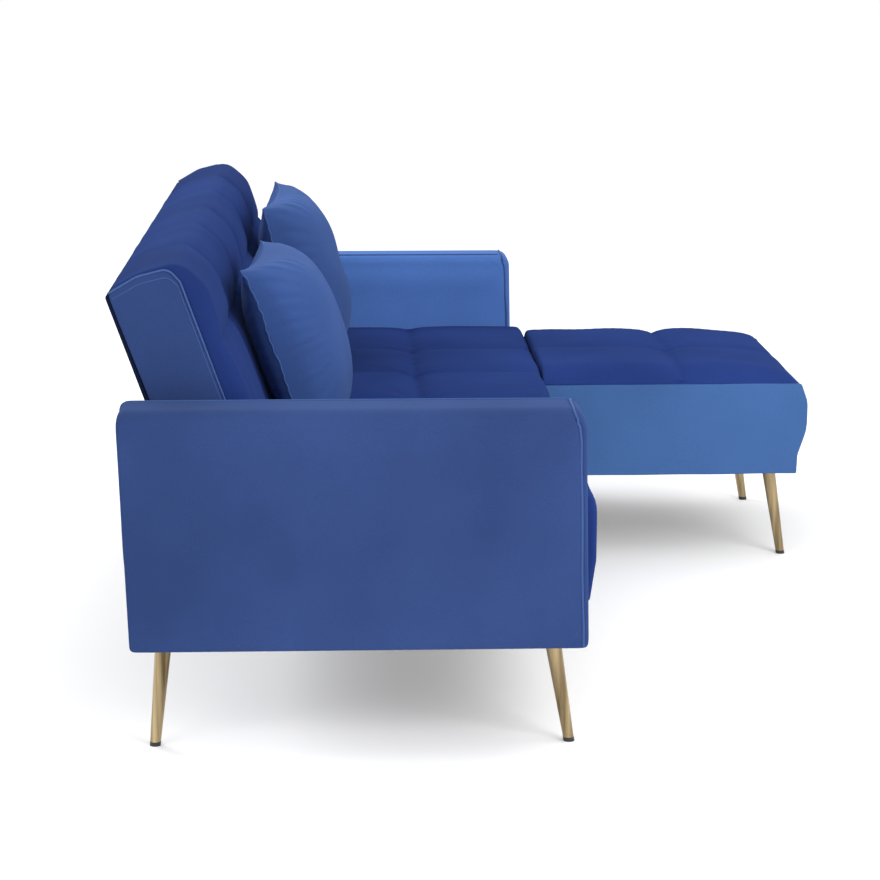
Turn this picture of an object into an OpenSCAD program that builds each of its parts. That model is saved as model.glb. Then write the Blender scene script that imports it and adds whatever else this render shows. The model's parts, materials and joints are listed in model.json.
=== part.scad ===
// Click-clack sofa bed: a seat between two slab arms, one reclining backrest, a chaise ottoman
// against one half of the seat's front, and two loose pillows.
// X runs along the sofa, -Y is its front and +Z is up. The origin is on the floor, under the
// middle of the overall box. Lengths are in millimetres.

/* [Overall] */
// Length over both arms
sofa_length = 2000; // [1660:10:2400]
// Height of the seat's top
seat_height = 410; // [370:5:500]
// Height of the arms' top
arm_height = 570; // [480:2:700]
// Height of the frame's underside, which the legs reach
leg_height = 182; // [140:2:220]
// Depth of the seat pad, from its front to its rear edge
seat_depth = 498; // [410:2:600]
// Length of the ottoman, from its rear to its front
ottoman_length = 553; // [450:1:670]
// Width of the ottoman
ottoman_width = 587; // [490:1:710]

/* [Arms] */
// Width of one arm
arm_thickness = 116; // [96:1:140]
// Depth of an arm along its underside
arm_depth = 739; // [610:1:890]
// How far the top edge leans back of the bottom edge, at the front
arm_rake_front = 8; // [0:1:20]
// How far the top edge leans back of the bottom edge, at the rear
arm_rake_rear = 14; // [0:1:25]
// Radius of the two top corners
arm_corner_r = 28; // [15:1:45]
// Thickness of the padded arm cover
arm_cover_wall = 8; // [6:1:12]
// Thickness of the boards on both faces of the arm frame
arm_board = 5; // [3:1:9]
// Width and thickness of the arm frame's timber, seen from the side
arm_timber = 44; // [34:1:54]
// Distance from the arm's edge to its piping
piping_inset = 9; // [6:1:14]
// Width of the piping
piping_width = 5; // [4:0.5:8]
// How far the piping stands out from the arm's outer face
piping_proud = 2; // [1:0.5:3]
// Gap between an arm and the pads
arm_gap = 4; // [3:0.5:8]

/* [Seat] */
// Thickness of the frame rails
rail = 22; // [16:1:30]
// Depth of the foam above the slats
pad_thickness = 71; // [55:1:90]
// How far the pad stands out in front of the front rail
pad_wrap = 29; // [20:1:40]
// How far the pad's front stands out from the arms
seat_proud = 22; // [10:1:35]
// How far the pad reaches behind the rear rail
rear_overhang = 15; // [12:1:20]
// Thickness of the cloth-covered boards and strips
skin = 6; // [4:0.5:8]
// Height of the covered strip under the front bulge
strip_height = 42; // [30:1:60]
// Radius of the seat pad's top front edge
pad_edge_r = 34; // [20:1:40]
// Thickness of the slats
slat = 9; // [6:1:12]
// Width of a slat
slat_width = 55; // [40:1:65]
// Number of slats under the seat
seat_slat_count = 6; // [4:1:6]
// Distance of the outer cross rails from the middle
cross_rail_x = 540; // [480:5:600]
// Thickness of the cloth under the frame
dust_cloth = 1; // [0.5:0.5:2]

/* [Backrest] */
// Lean of the backrest at rest, back from upright
back_lean = 19.5; // [16:0.5:24]
// Length of the backrest above its pivot
back_length = 449; // [370:1:540]
// Distance from the pivot to the backrest's front face
pivot_depth = 44; // [38:1:53]
// Distance from the pivot to the seam between the front pad and the boxed panel
back_seam = 9; // [6:1:11]
// Distance from the pivot to the backrest's rear face
back_rear = 110; // [92:1:132]
// Depth of the backrest's timber
back_timber = 70; // [58:1:82]
// Distance of the backrest's centre posts from the middle
back_post_x = 290; // [240:5:350]
// Number of slats in the backrest
back_slat_count = 5; // [3:1:5]
// Gap between the seat pad's rear edge and the backrest
back_gap = 3; // [2:0.5:6]
// Foam between the backrest's timber and its top
back_foam = 22; // [18:1:30]
// Radius of the roll along the backrest's top
back_roll_r = 60; // [50:1:70]

/* [Legs] */
// Radius of a leg at its top
leg_r_top = 14; // [11:0.5:17]
// Radius of a leg at the floor
leg_r_foot = 8.5; // [7:0.5:10]
// Wall of the tubular legs
leg_wall = 1.5; // [1:0.25:2.5]
// Height of the plastic glide under a leg
glide_height = 7; // [5:1:10]
// Splay of the front legs, forward from top to floor
front_splay = 30; // [15:1:40]
// Splay of the rear legs, backward from top to floor
rear_splay = 18; // [10:1:30]
// Distance from an arm's front edge to its front foot
front_foot_inset = 24; // [15:1:40]
// Distance from an arm's rear edge to its rear foot
rear_foot_inset = 33; // [20:1:50]
// Distance from the arm's outer face to its feet
foot_inset_x = 96; // [80:1:100]
// Side of a square leg plate
plate_side = 62; // [50:1:70]
// Thickness of a leg plate
plate_wall = 2.5; // [2:0.5:4]
// Radius of the threaded stud on a leg
stud_r = 4; // [3:0.5:5]
// Height of the stud above the leg
stud_height = 30; // [25:1:40]
// Distance from the middle legs to the front and rear rails
centre_foot_inset = 50; // [38:1:60]
// Distance from the ottoman's ends and sides to its feet
ottoman_foot_inset = 38; // [36:1:60]
// Side of the ottoman's square corner blocks
corner_block = 60; // [54:1:80]
// Height of the covered strip under the ottoman's front bulge
ottoman_strip = 50; // [36:1:60]
// Distance from the seat's top down to the seam above the ottoman's side panels
ottoman_seam_drop = 34; // [26:1:45]

/* [Hinges] */
// Thickness of a hinge plate
hinge_plate = 4; // [3:0.5:5]
// Gap between the moving plate and the fixed one
plate_gap = 0.6; // [0.4:0.1:1]
// Radius of the pivot pin
pin_r = 6; // [5:0.5:8]
// Running clearance around a pin, on the radius
pin_clearance = 0.05; // [0.03:0.01:0.08]
// Radius of the toothed sector
sector_r = 30; // [27:0.5:33]
// Depth of a notch in the sector
notch_depth = 6; // [5:0.5:7]
// Angle around the pivot at which the pawl meets the sector
pawl_angle = 215; // [210:1:220]
// Length of the pawl from its pin to its nose
pawl_length = 38; // [34:1:42]
// Width of the pawl's nose
nose_width = 8; // [6:0.5:9]
// Clearance between the lifted pawl and the sector
pawl_clearance = 1; // [0.6:0.1:1.5]
// Radius of the pawl's pin
pawl_pin_r = 3; // [2.5:0.25:3.5]
// Width of the moving plate's arm
plate_arm = 28; // [22:1:34]

/* [Ottoman connectors] */
// Width of a connector tongue
tongue_width = 40; // [30:1:50]
// Thickness of a tongue
tongue_wall = 4; // [3:0.5:6]
// Height of the tongues above the frame's underside
tongue_rise = 20; // [15:1:26]
// Length of a tongue behind the ottoman
tongue_reach = 74; // [60:1:90]
// Distance from the ottoman's sides to its tongues
tongue_inset = 120; // [100:1:140]
// Clearance around a tongue
tongue_clearance = 1; // [0.5:0.25:1.5]

/* [Pillows] */
// Width of a pillow
pillow_width = 400; // [330:1:480]
// Height of a pillow along the backrest
pillow_height = 385; // [320:1:420]
// How far a pillow bulges in front of its seam
pillow_front = 99; // [70:1:120]
// How far a pillow bulges behind its seam, where it rests on the backrest
pillow_back = 61; // [50:1:74]
// Thickness of a pillow at its seam
pillow_edge = 8; // [5:1:12]
// Thickness of the pillow's cover
pillow_wall = 3; // [2:0.5:4]
// Room for loose filling between a pillow's cover and its insert
pillow_room = 11; // [8:1:14]
// Distance of a pillow's middle from the sofa's middle
pillow_x = 400; // [300:5:480]
// Gap between the seat and the lowest edge of a pillow
pillow_clearance = 1.4; // [1:0.2:15]

/* [Hidden] */

$fn = 48;
// A small distance by which a cutting solid passes the face it cuts
cut = 1;
// The hairline between two panels or timbers that meet in one node
hairline = 0.2;
// The clearance of a bolt or a stud in its hole, on the radius
fit = 0.3;
// The clearance of a screw in its hole, on the radius
screw_fit = 0.2;

// Colours
velvet = "#33508f";
velvet_light = "#4467a8";
foam = "#e8dfb8";
timber = "#c8a878";
board = "#b8956a";
gold = "#a08a5b";
steel = "#8a8d92";
black = "#1c1c1e";
cloth = "#2b2b30";

// Places along X
half = sofa_length / 2;
arm_face = half - piping_proud;
arm_inner = half - arm_thickness;
pad_half = arm_inner - arm_gap;
rail_inner = arm_inner - rail;
seat_plate_x = rail_inner - hinge_plate;
back_plate_x = seat_plate_x - plate_gap - hinge_plate;
ottoman_x1 = pad_half;
ottoman_x0 = pad_half - ottoman_width;
ottoman_mid = (ottoman_x0 + ottoman_x1) / 2;

// Places along Y, counted from the middle of an arm's underside
arm_front = -arm_depth / 2;
arm_back = arm_depth / 2;
pad_front = arm_front - seat_proud;
pad_rear = pad_front + seat_depth;
rail_front = pad_front + pad_wrap;
rail_rear = pad_rear - rear_overhang;
ottoman_rear = pad_front - back_gap;
ottoman_front = ottoman_rear - ottoman_length;
o_panel_front = ottoman_front + pad_wrap - 2 * skin;
o_rail_front = o_panel_front + skin;
o_rail_rear = ottoman_rear - skin;

// Heights
rail_bottom = leg_height + 4;
slat_top = seat_height - pad_thickness;
rail_top = slat_top - slat;
strip_top = leg_height + strip_height;
panel_top = seat_height - ottoman_seam_drop;

// The pivot: the backrest's front face comes level with the seat's top when it lies flat
pivot_y = pad_rear + back_gap + pivot_depth;
pivot_z = seat_height - pivot_depth;
// One click of the backrest: the second one lays it flat
click_angle = (90 - back_lean) / 2;

// The backrest in its own frame: Y is rearward from the pivot and Z is up the lean
back_corner_r = 12;
back_bottom = -pivot_depth;
pillow_drop = (pivot_depth + cut + pillow_back - pillow_edge / 2) * sin(back_lean);
pillow_rise = (pivot_depth + pillow_clearance - pillow_drop) / cos(back_lean);
back_rear_top = back_length - 4;
// The seam behind the pad's roll, and the height where the pad's front starts to roll over
back_seam_top = back_length - 15;
back_roll_z = back_length - 110;
back_rear_y = pivot_y + (back_rear_top - back_corner_r) * sin(back_lean)
    + (back_rear - back_corner_r) * cos(back_lean) + back_corner_r;
// The height of the end notches that clear the seat plates, and the ends of the backrest's posts
hinge_notch_top = 30;
post_bottom = 24;
post_top = back_length - back_foam;

// The middle of the overall depth, which is the origin's place along Y
mid_y = (ottoman_front + back_rear_y) / 2;

// Feet, as [x, y] on the floor, and the way that each leg splays forward from its top
foot_x = half - foot_inset_x;
front_foot_y = arm_front + front_foot_inset;
rear_foot_y = arm_back - rear_foot_inset;
ottoman_feet_x = [ottoman_x0 + ottoman_foot_inset, ottoman_x1 - ottoman_foot_inset];
ottoman_front_foot_y = ottoman_front + ottoman_foot_inset;
ottoman_rear_foot_y = ottoman_rear - ottoman_foot_inset - rear_splay;
centre_feet_y = [rail_front + rail + centre_foot_inset, rail_rear - rail - centre_foot_inset];

// Arm bolts: they pass through the middles of the arm's front and middle posts
bolt_r = 4;
bolt_head = 5;
bolt_inset = 40;
arm_inset = arm_cover_wall + 1;
front_post_y = arm_front + arm_cover_wall + arm_rake_front;
middle_post_y = rail_rear - 142;
arm_bolt_y = [front_post_y + arm_timber / 2, middle_post_y + arm_timber / 2];
arm_bolt_z = [rail_bottom + bolt_inset, rail_top - bolt_inset];

// The pawl, in a frame turned so that +X points out from the pivot through the nose
pawl_bar = 7;
pawl_bar_r = sector_r + pawl_clearance + notch_depth;
pawl_pin_out = pawl_bar_r + pawl_bar / 2;
pawl_hub_r = 7;

// Screws and pins: their radius, and the height of their heads
screw_r = 2.5;
screw_head = 2;
pin_head = 3;
pin_head_rim = 4;
// How far a pin passes the last plate it holds
pin_end = 0.5;
pawl_pin_end = 6;

// The closed top of a tubular leg, and the bar that cuts a leg to length
leg_cap = 3;
leg_slice = 100;

// A unit vector along v
function unit(v) = v / norm(v);

// The arc that rounds corner b, between its neighbours a and c, to radius r
function corner(a, b, c, r, steps = 6) =
    r == 0 ? [b] :
    let (
        u = unit(a - b),
        v = unit(c - b),
        half_angle = acos(u * v) / 2,
        middle = b + unit(u + v) * r / sin(half_angle),
        from = b + u * r / tan(half_angle) - middle,
        to = b + v * r / tan(half_angle) - middle,
        start = atan2(from.y, from.x),
        turn = atan2(to.y, to.x) - start,
        sweep = turn > 180 ? turn - 360 : turn < -180 ? turn + 360 : turn
    )
    [for (i = [0 : steps]) middle + r * [cos(start + sweep * i / steps), sin(start + sweep * i / steps)]];

// An outline from [y, z, radius] corners
function outline(corners) =
    let (n = len(corners))
    [for (i = [0 : n - 1])
        let (
            a = corners[(i + n - 1) % n],
            b = corners[i],
            c = corners[(i + 1) % n]
        )
        each corner([a.x, a.y], [b.x, b.y], [c.x, c.y], b.z)];

// Puts pieces that are placed from the arms' middle into the part's own frame
module placed() translate([0, -mid_y, 0]) children();

// The mirror image, for the left side
module mirrored() mirror([1, 0, 0]) children();

// A flat shape in Y and Z, drawn out along X from x0 to x1
module along_x(x0, x1) translate([x0, 0, 0]) rotate([90, 0, 90]) linear_extrude(x1 - x0) children();

// A block between two corners
module block(low, high) translate(low) cube(high - low);

// A round bar along X, at [y, z]
module bar_x(x0, x1, r, y, z) translate([x0, y, z]) rotate([0, 90, 0]) cylinder(h = x1 - x0, r = r);

// The backrest's own frame: the pivot at the origin, Z up the lean and Y to the rear
module on_backrest() placed() translate([0, pivot_y, pivot_z]) rotate([-back_lean, 0, 0]) children();

// ---- Arms ----

// The side view of an arm, drawn in from its edge by inset
module arm_side(inset, r) {
    front = arm_front + inset;
    back = arm_back - inset;
    polygon(outline([
        [front, leg_height + inset, 2],
        [back, leg_height + inset, 2],
        [back + arm_rake_rear, arm_height - inset, r],
        [front + arm_rake_front, arm_height - inset, r]
    ]));
}

module arm_bolt_holes() {
    for (y = arm_bolt_y, z = arm_bolt_z) {
        bar_x(rail_inner - cut, arm_inner + arm_thickness / 2 + cut, bolt_r + fit, y, z);
    }
}

// The holes for the studs of an arm's two legs
module leg_stud_holes() {
    for (y = [front_foot_y + front_splay, rear_foot_y - rear_splay]) {
        translate([foot_x, y, leg_height - cut]) cylinder(h = stud_height + cut + fit, r = stud_r + fit);
    }
}

// A padded shell around the arm's frame, with a recess for each leg plate
module arm_cover() placed() difference() {
    along_x(arm_inner, arm_face) arm_side(0, arm_corner_r);
    along_x(arm_inner + arm_cover_wall, arm_face - arm_cover_wall)
        arm_side(arm_cover_wall, arm_corner_r - arm_cover_wall);
    arm_bolt_holes();
    leg_stud_holes();
    for (y = [front_foot_y + front_splay, rear_foot_y - rear_splay]) {
        translate([foot_x - plate_side / 2, y - plate_side / 2, leg_height - cut])
            cube([plate_side, plate_side, plate_wall + cut]);
    }
}

// The piping beside the arm's front, which ends behind its top corner
module arm_piping() placed() along_x(arm_face, half) intersection() {
    difference() {
        arm_side(piping_inset, arm_corner_r - piping_inset);
        arm_side(piping_inset + piping_width, arm_corner_r - piping_inset - piping_width);
    }
    translate([arm_front, leg_height]) square([2 * arm_corner_r, arm_height - leg_height]);
}

// The boards on both faces of the arm's frame
module arm_boards() placed() difference() {
    for (x = [arm_inner + arm_cover_wall, arm_face - arm_cover_wall - arm_board]) {
        along_x(x, x + arm_board) arm_side(arm_inset, arm_corner_r - arm_inset);
    }
    arm_bolt_holes();
}

// Three posts between a bottom and a top rail
module arm_frame() placed() {
    inset = arm_inset;
    x0 = arm_inner + arm_cover_wall + arm_board;
    x1 = arm_face - arm_cover_wall - arm_board;
    difference() {
        along_x(x0, x1) difference() {
            arm_side(inset, arm_corner_r - inset);
            for (gap = [[front_post_y + arm_timber, middle_post_y],
                        [middle_post_y + arm_timber, arm_back - inset - arm_timber]]) {
                translate([gap[0], leg_height + inset + rail])
                    square([gap[1] - gap[0], arm_height - leg_height - 2 * inset - 2 * rail]);
            }
        }
        for (z = [leg_height + inset + rail, arm_height - inset - rail]) {
            block([x0 - cut, arm_front, z], [x1 + cut, arm_back + arm_rake_rear, z + hairline]);
        }
        arm_bolt_holes();
        leg_stud_holes();
    }
}

module arm_bolts() color(steel) placed() {
    for (side = [0, 1], y = arm_bolt_y, z = arm_bolt_z) {
        mirror([side, 0, 0]) {
            bar_x(rail_inner, arm_inner + arm_thickness / 2, bolt_r, y, z);
            bar_x(rail_inner - bolt_head, rail_inner, 2 * bolt_r, y, z);
        }
    }
}

module arm_cover_right() color(velvet) arm_cover();
module arm_cover_left() color(velvet) mirrored() arm_cover();
module arm_piping_right() color(velvet_light) arm_piping();
module arm_piping_left() color(velvet_light) mirrored() arm_piping();
module arm_boards_right() color(board) arm_boards();
module arm_boards_left() color(board) mirrored() arm_boards();
module arm_frame_right() color(timber) arm_frame();
module arm_frame_left() color(timber) mirrored() arm_frame();

// ---- Legs ----

// A tapered solid from the floor up to the frame, its foot at [x, y], leaning to its top
module leg_taper(x, y, lean, inset) {
    tilt = atan(lean / leg_height);
    over = glide_height;
    translate([x, y, 0]) rotate([-tilt, 0, 0]) translate([0, 0, -over])
        cylinder(h = leg_height / cos(tilt) + 2 * over, r1 = leg_r_foot - inset, r2 = leg_r_top - inset);
}

// The slice of its children between two heights
module slice(x, y, z0, z1) intersection() {
    children();
    block([x - leg_slice, y - leg_slice, z0], [x + leg_slice, y + leg_slice, z1]);
}

// A tapered tube with a closed top and a threaded stud
module leg(x, y, lean) placed() {
    difference() {
        slice(x, y, glide_height, leg_height) leg_taper(x, y, lean, 0);
        slice(x, y, glide_height - cut, leg_height - leg_cap) leg_taper(x, y, lean, leg_wall);
    }
    translate([x, y + lean, leg_height - leg_cap + cut])
        cylinder(h = stud_height + leg_cap - cut, r = stud_r);
}

module glide(x, y, lean) placed() slice(x, y, 0, glide_height) leg_taper(x, y, lean, -fit);

module leg_plate(x, y, z) placed() difference() {
    translate([x - plate_side / 2, y - plate_side / 2, z]) cube([plate_side, plate_side, plate_wall]);
    translate([x, y, z - cut]) cylinder(h = plate_wall + 2 * cut, r = stud_r + fit);
}

module leg_front_right() color(gold) leg(foot_x, front_foot_y, front_splay);
module leg_front_left() color(gold) leg(-foot_x, front_foot_y, front_splay);
module leg_rear_right() color(gold) leg(foot_x, rear_foot_y, -rear_splay);
module leg_rear_left() color(gold) leg(-foot_x, rear_foot_y, -rear_splay);

module centre_legs() color(gold) {
    for (y = centre_feet_y) {
        leg(0, y, 0);
    }
}

module leg_plates() color(steel) {
    for (x = [-foot_x, foot_x]) {
        leg_plate(x, front_foot_y + front_splay, leg_height);
        leg_plate(x, rear_foot_y - rear_splay, leg_height);
    }
    for (y = centre_feet_y) {
        leg_plate(0, y, leg_height);
    }
}

module leg_glides() color(black) {
    for (x = [-foot_x, foot_x]) {
        glide(x, front_foot_y, front_splay);
        glide(x, rear_foot_y, -rear_splay);
    }
    for (y = centre_feet_y) {
        glide(0, y, 0);
    }
}

// ---- Seat ----

// Places of the two tongues along X
tongue_x = [ottoman_x0 + tongue_inset, ottoman_x1 - tongue_inset];
tongue_z = leg_height + tongue_rise;
// The depth of a keeper, the width of its ears, and how far its plate and a tongue's foot rise
keeper_depth = 25;
keeper_ear = 20;
keeper_rise = 40;
tongue_foot = 60;

// The space that the tongues pass through, with their clearance
module tongue_slots(y0, y1) {
    gap = tongue_clearance;
    for (x = tongue_x) {
        block([x - tongue_width / 2 - gap, y0, tongue_z - gap],
              [x + tongue_width / 2 + gap, y1, tongue_z + tongue_wall + gap]);
    }
}

module seat_front_rail() color(timber) placed() difference() {
    block([-rail_inner, rail_front, rail_bottom], [rail_inner, rail_front + rail, rail_top]);
    tongue_slots(rail_front - cut, rail_front + rail + cut);
}

module seat_rear_rail() color(timber) placed()
    block([-seat_plate_x, rail_rear - rail, rail_bottom], [seat_plate_x, rail_rear, rail_top]);

module seat_side_rail() placed() difference() {
    block([rail_inner, rail_front, rail_bottom], [arm_inner, rail_rear, rail_top]);
    arm_bolt_holes();
    hinge_screw_holes();
}

module seat_side_rail_right() color(timber) seat_side_rail();
module seat_side_rail_left() color(timber) mirrored() seat_side_rail();

module seat_cross_rails() color(timber) placed() difference() {
    for (x = [-cross_rail_x, 0, cross_rail_x]) {
        block([x - rail / 2, rail_front + rail, rail_bottom],
              [x + rail / 2, rail_rear - rail, rail_top]);
    }
    for (y = centre_feet_y) {
        translate([0, y, rail_bottom - cut]) cylinder(h = stud_height + cut, r = stud_r + fit);
    }
}

module seat_slats() color(board) placed() {
    run = rail_rear - rail_front - slat_width;
    for (i = [0 : seat_slat_count - 1]) {
        y = rail_front + run * i / (seat_slat_count - 1);
        block([-pad_half, y, rail_top], [pad_half, y + slat_width, slat_top]);
    }
}

// The side view of a pad: its top from front to rear, and its front wrapped down to low
module pad_side(front, rear, inner, low) {
    polygon(outline([
        [rear, slat_top, 0],
        [rear, seat_height, 10],
        [front, seat_height - 2, pad_edge_r],
        [front, (low + slat_top) / 2, 30],
        [front + 9, low, 8],
        [inner, low, 0],
        [inner, slat_top, 0]
    ]));
}

module seat_pad() color(velvet) placed()
    along_x(-pad_half, pad_half) pad_side(pad_front, pad_rear, rail_front, strip_top + 2);

// The side view of a covered strip with a lip under the frame
module strip_side(front, height) {
    polygon([
        [front - skin, leg_height],
        [front + rail, leg_height],
        [front + rail, rail_bottom],
        [front, rail_bottom],
        [front, leg_height + height],
        [front - skin, leg_height + height]
    ]);
}

// The strip between the arms; its lip stops short of the leg plates
module seat_front_strip() color(velvet_light) placed() difference() {
    along_x(-arm_inner, arm_inner) strip_side(rail_front, strip_height);
    tongue_slots(rail_front - skin - cut, rail_front + cut);
    for (side = [0, 1]) {
        mirror([side, 0, 0])
            block([foot_x - plate_side / 2 - cut, rail_front, leg_height - cut],
                  [half, rail_front + rail + cut, rail_bottom + cut]);
    }
}

module seat_rear_strip() color(velvet) placed()
    block([-seat_plate_x, rail_rear, leg_height], [seat_plate_x, rail_rear + skin, rail_top]);

module seat_dust_cloth() color(cloth) placed() difference() {
    block([-rail_inner, rail_front + rail, rail_bottom - dust_cloth],
          [rail_inner, rail_rear, rail_bottom]);
    for (y = centre_feet_y) {
        translate([0, y, leg_height]) cylinder(h = rail, r = stud_r + fit);
    }
}

// The boxes behind the front rail that take the tongues, each with a plate screwed to the rail
module connector_keepers() color(steel) placed() {
    wall = plate_wall;
    gap = tongue_clearance;
    y0 = rail_front + rail;
    y1 = y0 + keeper_depth;
    difference() {
        for (x = tongue_x) {
            block([x - tongue_width / 2 - gap - wall, y0, tongue_z - gap - wall],
                  [x + tongue_width / 2 + gap + wall, y1, tongue_z + tongue_wall + gap + wall]);
            block([x - tongue_width / 2 - keeper_ear, y0, tongue_z + tongue_wall + gap],
                  [x + tongue_width / 2 + keeper_ear, y0 + wall, tongue_z + keeper_rise]);
        }
        tongue_slots(y0 - cut, y1 + cut);
    }
}

// ---- Hinges ----

// The seat plate's foot on the side rail, and its screws
plate_foot_y = [rail_rear - rail - 62, rail_rear - 4];
plate_foot_z = [rail_top - 88, rail_top - 22];
hinge_screw_y = [rail_rear - rail - 46, rail_rear - rail - 16];
hinge_screw_z = [rail_top - 72, rail_top - 34];
// The back plate's screws and its end, in the backrest's frame
back_screw_z = [60, 100, 140];
back_screw_y = 20;
back_plate_top = 160;
// How far a screw's point stays inside the timber that holds it
screw_point = 4;

// The screws that hold the seat plate to its side rail
module hinge_screw_holes() {
    for (y = hinge_screw_y, z = hinge_screw_z) {
        bar_x(seat_plate_x - cut, arm_inner - screw_point, screw_r + screw_fit, y, z);
    }
}

module hinge_seat_screws() color(steel) placed() {
    for (side = [0, 1], y = hinge_screw_y, z = hinge_screw_z) {
        mirror([side, 0, 0]) {
            bar_x(seat_plate_x, arm_inner - screw_point - cut, screw_r, y, z);
            bar_x(seat_plate_x - screw_head, seat_plate_x, 2 * screw_r, y, z);
        }
    }
}

// Places its children at the pawl's pin, from the pivot
module at_pawl_pin() rotate(pawl_angle) translate([pawl_pin_out, pawl_length]) children();

// The fixed plate, seen from the side: a foot on the rail, an eye at the pivot and one at the pawl
module seat_plate_side() {
    foot_y0 = plate_foot_y[0] - pivot_y;
    foot_y1 = plate_foot_y[1] - pivot_y;
    foot_z0 = plate_foot_z[0] - pivot_z;
    foot_z1 = plate_foot_z[1] - pivot_z;
    eye = sector_r - 8;
    difference() {
        union() {
            circle(r = eye);
            polygon([
                [foot_y0, foot_z0], [foot_y1, foot_z0],
                eye * [cos(-40), sin(-40)], eye * [cos(140), sin(140)],
                [foot_y1, foot_z1], [foot_y0, foot_z1]
            ]);
            at_pawl_pin() circle(r = pawl_hub_r + 2);
        }
        circle(r = pin_r + pin_clearance);
        at_pawl_pin() circle(r = pawl_pin_r + pin_clearance);
    }
}

module seat_plate() placed() difference() {
    along_x(seat_plate_x, rail_inner) translate([pivot_y, pivot_z]) seat_plate_side();
    hinge_screw_holes();
}

module hinge_seat_plate_right() color(steel) seat_plate();
module hinge_seat_plate_left() color(steel) mirrored() seat_plate();

module hinge_pins() color(steel) placed() {
    for (side = [0, 1]) {
        mirror([side, 0, 0]) {
            bar_x(back_plate_x - pin_end, rail_inner, pin_r, pivot_y, pivot_z);
            bar_x(rail_inner, rail_inner + pin_head, pin_r + pin_head_rim, pivot_y, pivot_z);
            bar_x(back_plate_x - pin_end - pin_head, back_plate_x - pin_end, pin_r + pin_head_rim,
                  pivot_y, pivot_z);
        }
    }
}

// A round bar along X at the pawl's pin
module pawl_bar_x(x0, x1, r) {
    along_x(x0, x1) translate([pivot_y, pivot_z]) at_pawl_pin() circle(r = r);
}

module pawl_pins() color(steel) placed() {
    for (side = [0, 1]) {
        mirror([side, 0, 0]) {
            pawl_bar_x(back_plate_x - pawl_pin_end, rail_inner, pawl_pin_r);
            pawl_bar_x(back_plate_x - pawl_pin_end - screw_head, back_plate_x - pawl_pin_end,
                       pawl_pin_r + screw_head);
        }
    }
}

// A torsion spring around each pawl's pin, drawn as a plain sleeve
module pawl_springs() color(black) placed() {
    for (side = [0, 1]) {
        mirror([side, 0, 0]) difference() {
            pawl_bar_x(back_plate_x - pawl_pin_end + pin_end, back_plate_x - pin_end, pawl_pin_r + 2);
            pawl_bar_x(back_plate_x - pawl_pin_end, back_plate_x, pawl_pin_r + fit);
        }
    }
}

// A bar with a nose that drops into the sector's notches, drawn just lifted out of them
module pawl() placed() along_x(back_plate_x + fit, back_plate_x + hinge_plate - fit)
    translate([pivot_y, pivot_z]) difference() {
        union() {
            rotate(pawl_angle) {
                translate([pawl_bar_r, -nose_width / 2]) square([pawl_bar, pawl_length + nose_width / 2]);
                translate([sector_r + pawl_clearance, -nose_width / 2])
                    square([notch_depth + cut, nose_width]);
            }
            at_pawl_pin() circle(r = pawl_hub_r);
        }
        at_pawl_pin() circle(r = pawl_pin_r + pin_clearance);
    }

module pawl_right() color(steel) pawl();
module pawl_left() color(steel) mirrored() pawl();

// The moving plate, seen from the side in the backrest's frame
module back_plate_side() {
    notch_width = nose_width + 4;
    difference() {
        union() {
            circle(r = sector_r);
            translate([back_screw_y - plate_arm / 2, 0]) square([plate_arm, back_plate_top]);
        }
        circle(r = pin_r + pin_clearance);
        for (click = [0 : 2]) {
            rotate(pawl_angle + back_lean + click * click_angle)
                translate([sector_r - notch_depth - pin_end, -notch_width / 2])
                    square([2 * notch_depth, notch_width]);
        }
    }
}

module back_plate() on_backrest() difference() {
    along_x(back_plate_x, back_plate_x + hinge_plate) back_plate_side();
    for (z = back_screw_z) {
        bar_x(back_plate_x - cut, back_plate_x + hinge_plate + cut, screw_r + screw_fit, back_screw_y, z);
    }
}

module hinge_back_plate_right() color(steel) back_plate();
module hinge_back_plate_left() color(steel) mirrored() back_plate();

module hinge_back_screws() color(steel) on_backrest() {
    for (side = [0, 1], z = back_screw_z) {
        mirror([side, 0, 0]) {
            bar_x(back_plate_x - rail + screw_point, back_plate_x + hinge_plate, screw_r, back_screw_y, z);
            bar_x(back_plate_x + hinge_plate, back_plate_x + hinge_plate + screw_head, 2 * screw_r,
                  back_screw_y, z);
        }
    }
}

// ---- Backrest ----

back_frame_front = slat - back_seam;

module backrest_bottom_rail() color(timber) on_backrest()
    block([rail - back_plate_x, back_frame_front, post_bottom],
          [back_plate_x - rail, back_timber, post_bottom + rail]);

module backrest_top_rail() color(timber) on_backrest()
    block([rail - back_plate_x, back_frame_front, post_top - rail],
          [back_plate_x - rail, back_timber, post_top]);

// Two side posts, which carry the hinges, and two posts between the rails
module backrest_posts() color(timber) on_backrest() difference() {
    union() {
        for (side = [0, 1]) {
            mirror([side, 0, 0])
                block([back_plate_x - rail + hairline, back_frame_front, post_bottom],
                      [back_plate_x, back_timber, post_top]);
        }
        for (x = [-back_post_x, back_post_x]) {
            block([x - rail / 2, back_frame_front, post_bottom + rail],
                  [x + rail / 2, back_timber, post_top - rail]);
        }
    }
    for (side = [0, 1], z = back_screw_z) {
        mirror([side, 0, 0])
            bar_x(back_plate_x - rail + screw_point - cut, back_plate_x + cut, screw_r + screw_fit,
                  back_screw_y, z);
    }
}

module backrest_slats() color(board) on_backrest() {
    run = post_top - post_bottom - slat_width;
    for (i = [0 : back_slat_count - 1]) {
        z = post_bottom + run * i / (back_slat_count - 1);
        block([-back_plate_x, -back_seam, z], [back_plate_x, back_frame_front, z + slat_width]);
    }
}

// The end notches that clear the seat plates
module hinge_notches() {
    for (side = [0, 1]) {
        mirror([side, 0, 0])
            block([back_plate_x - rail - 5, -back_length, back_bottom - rail],
                  [half, back_length, hinge_notch_top]);
    }
}

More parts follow.
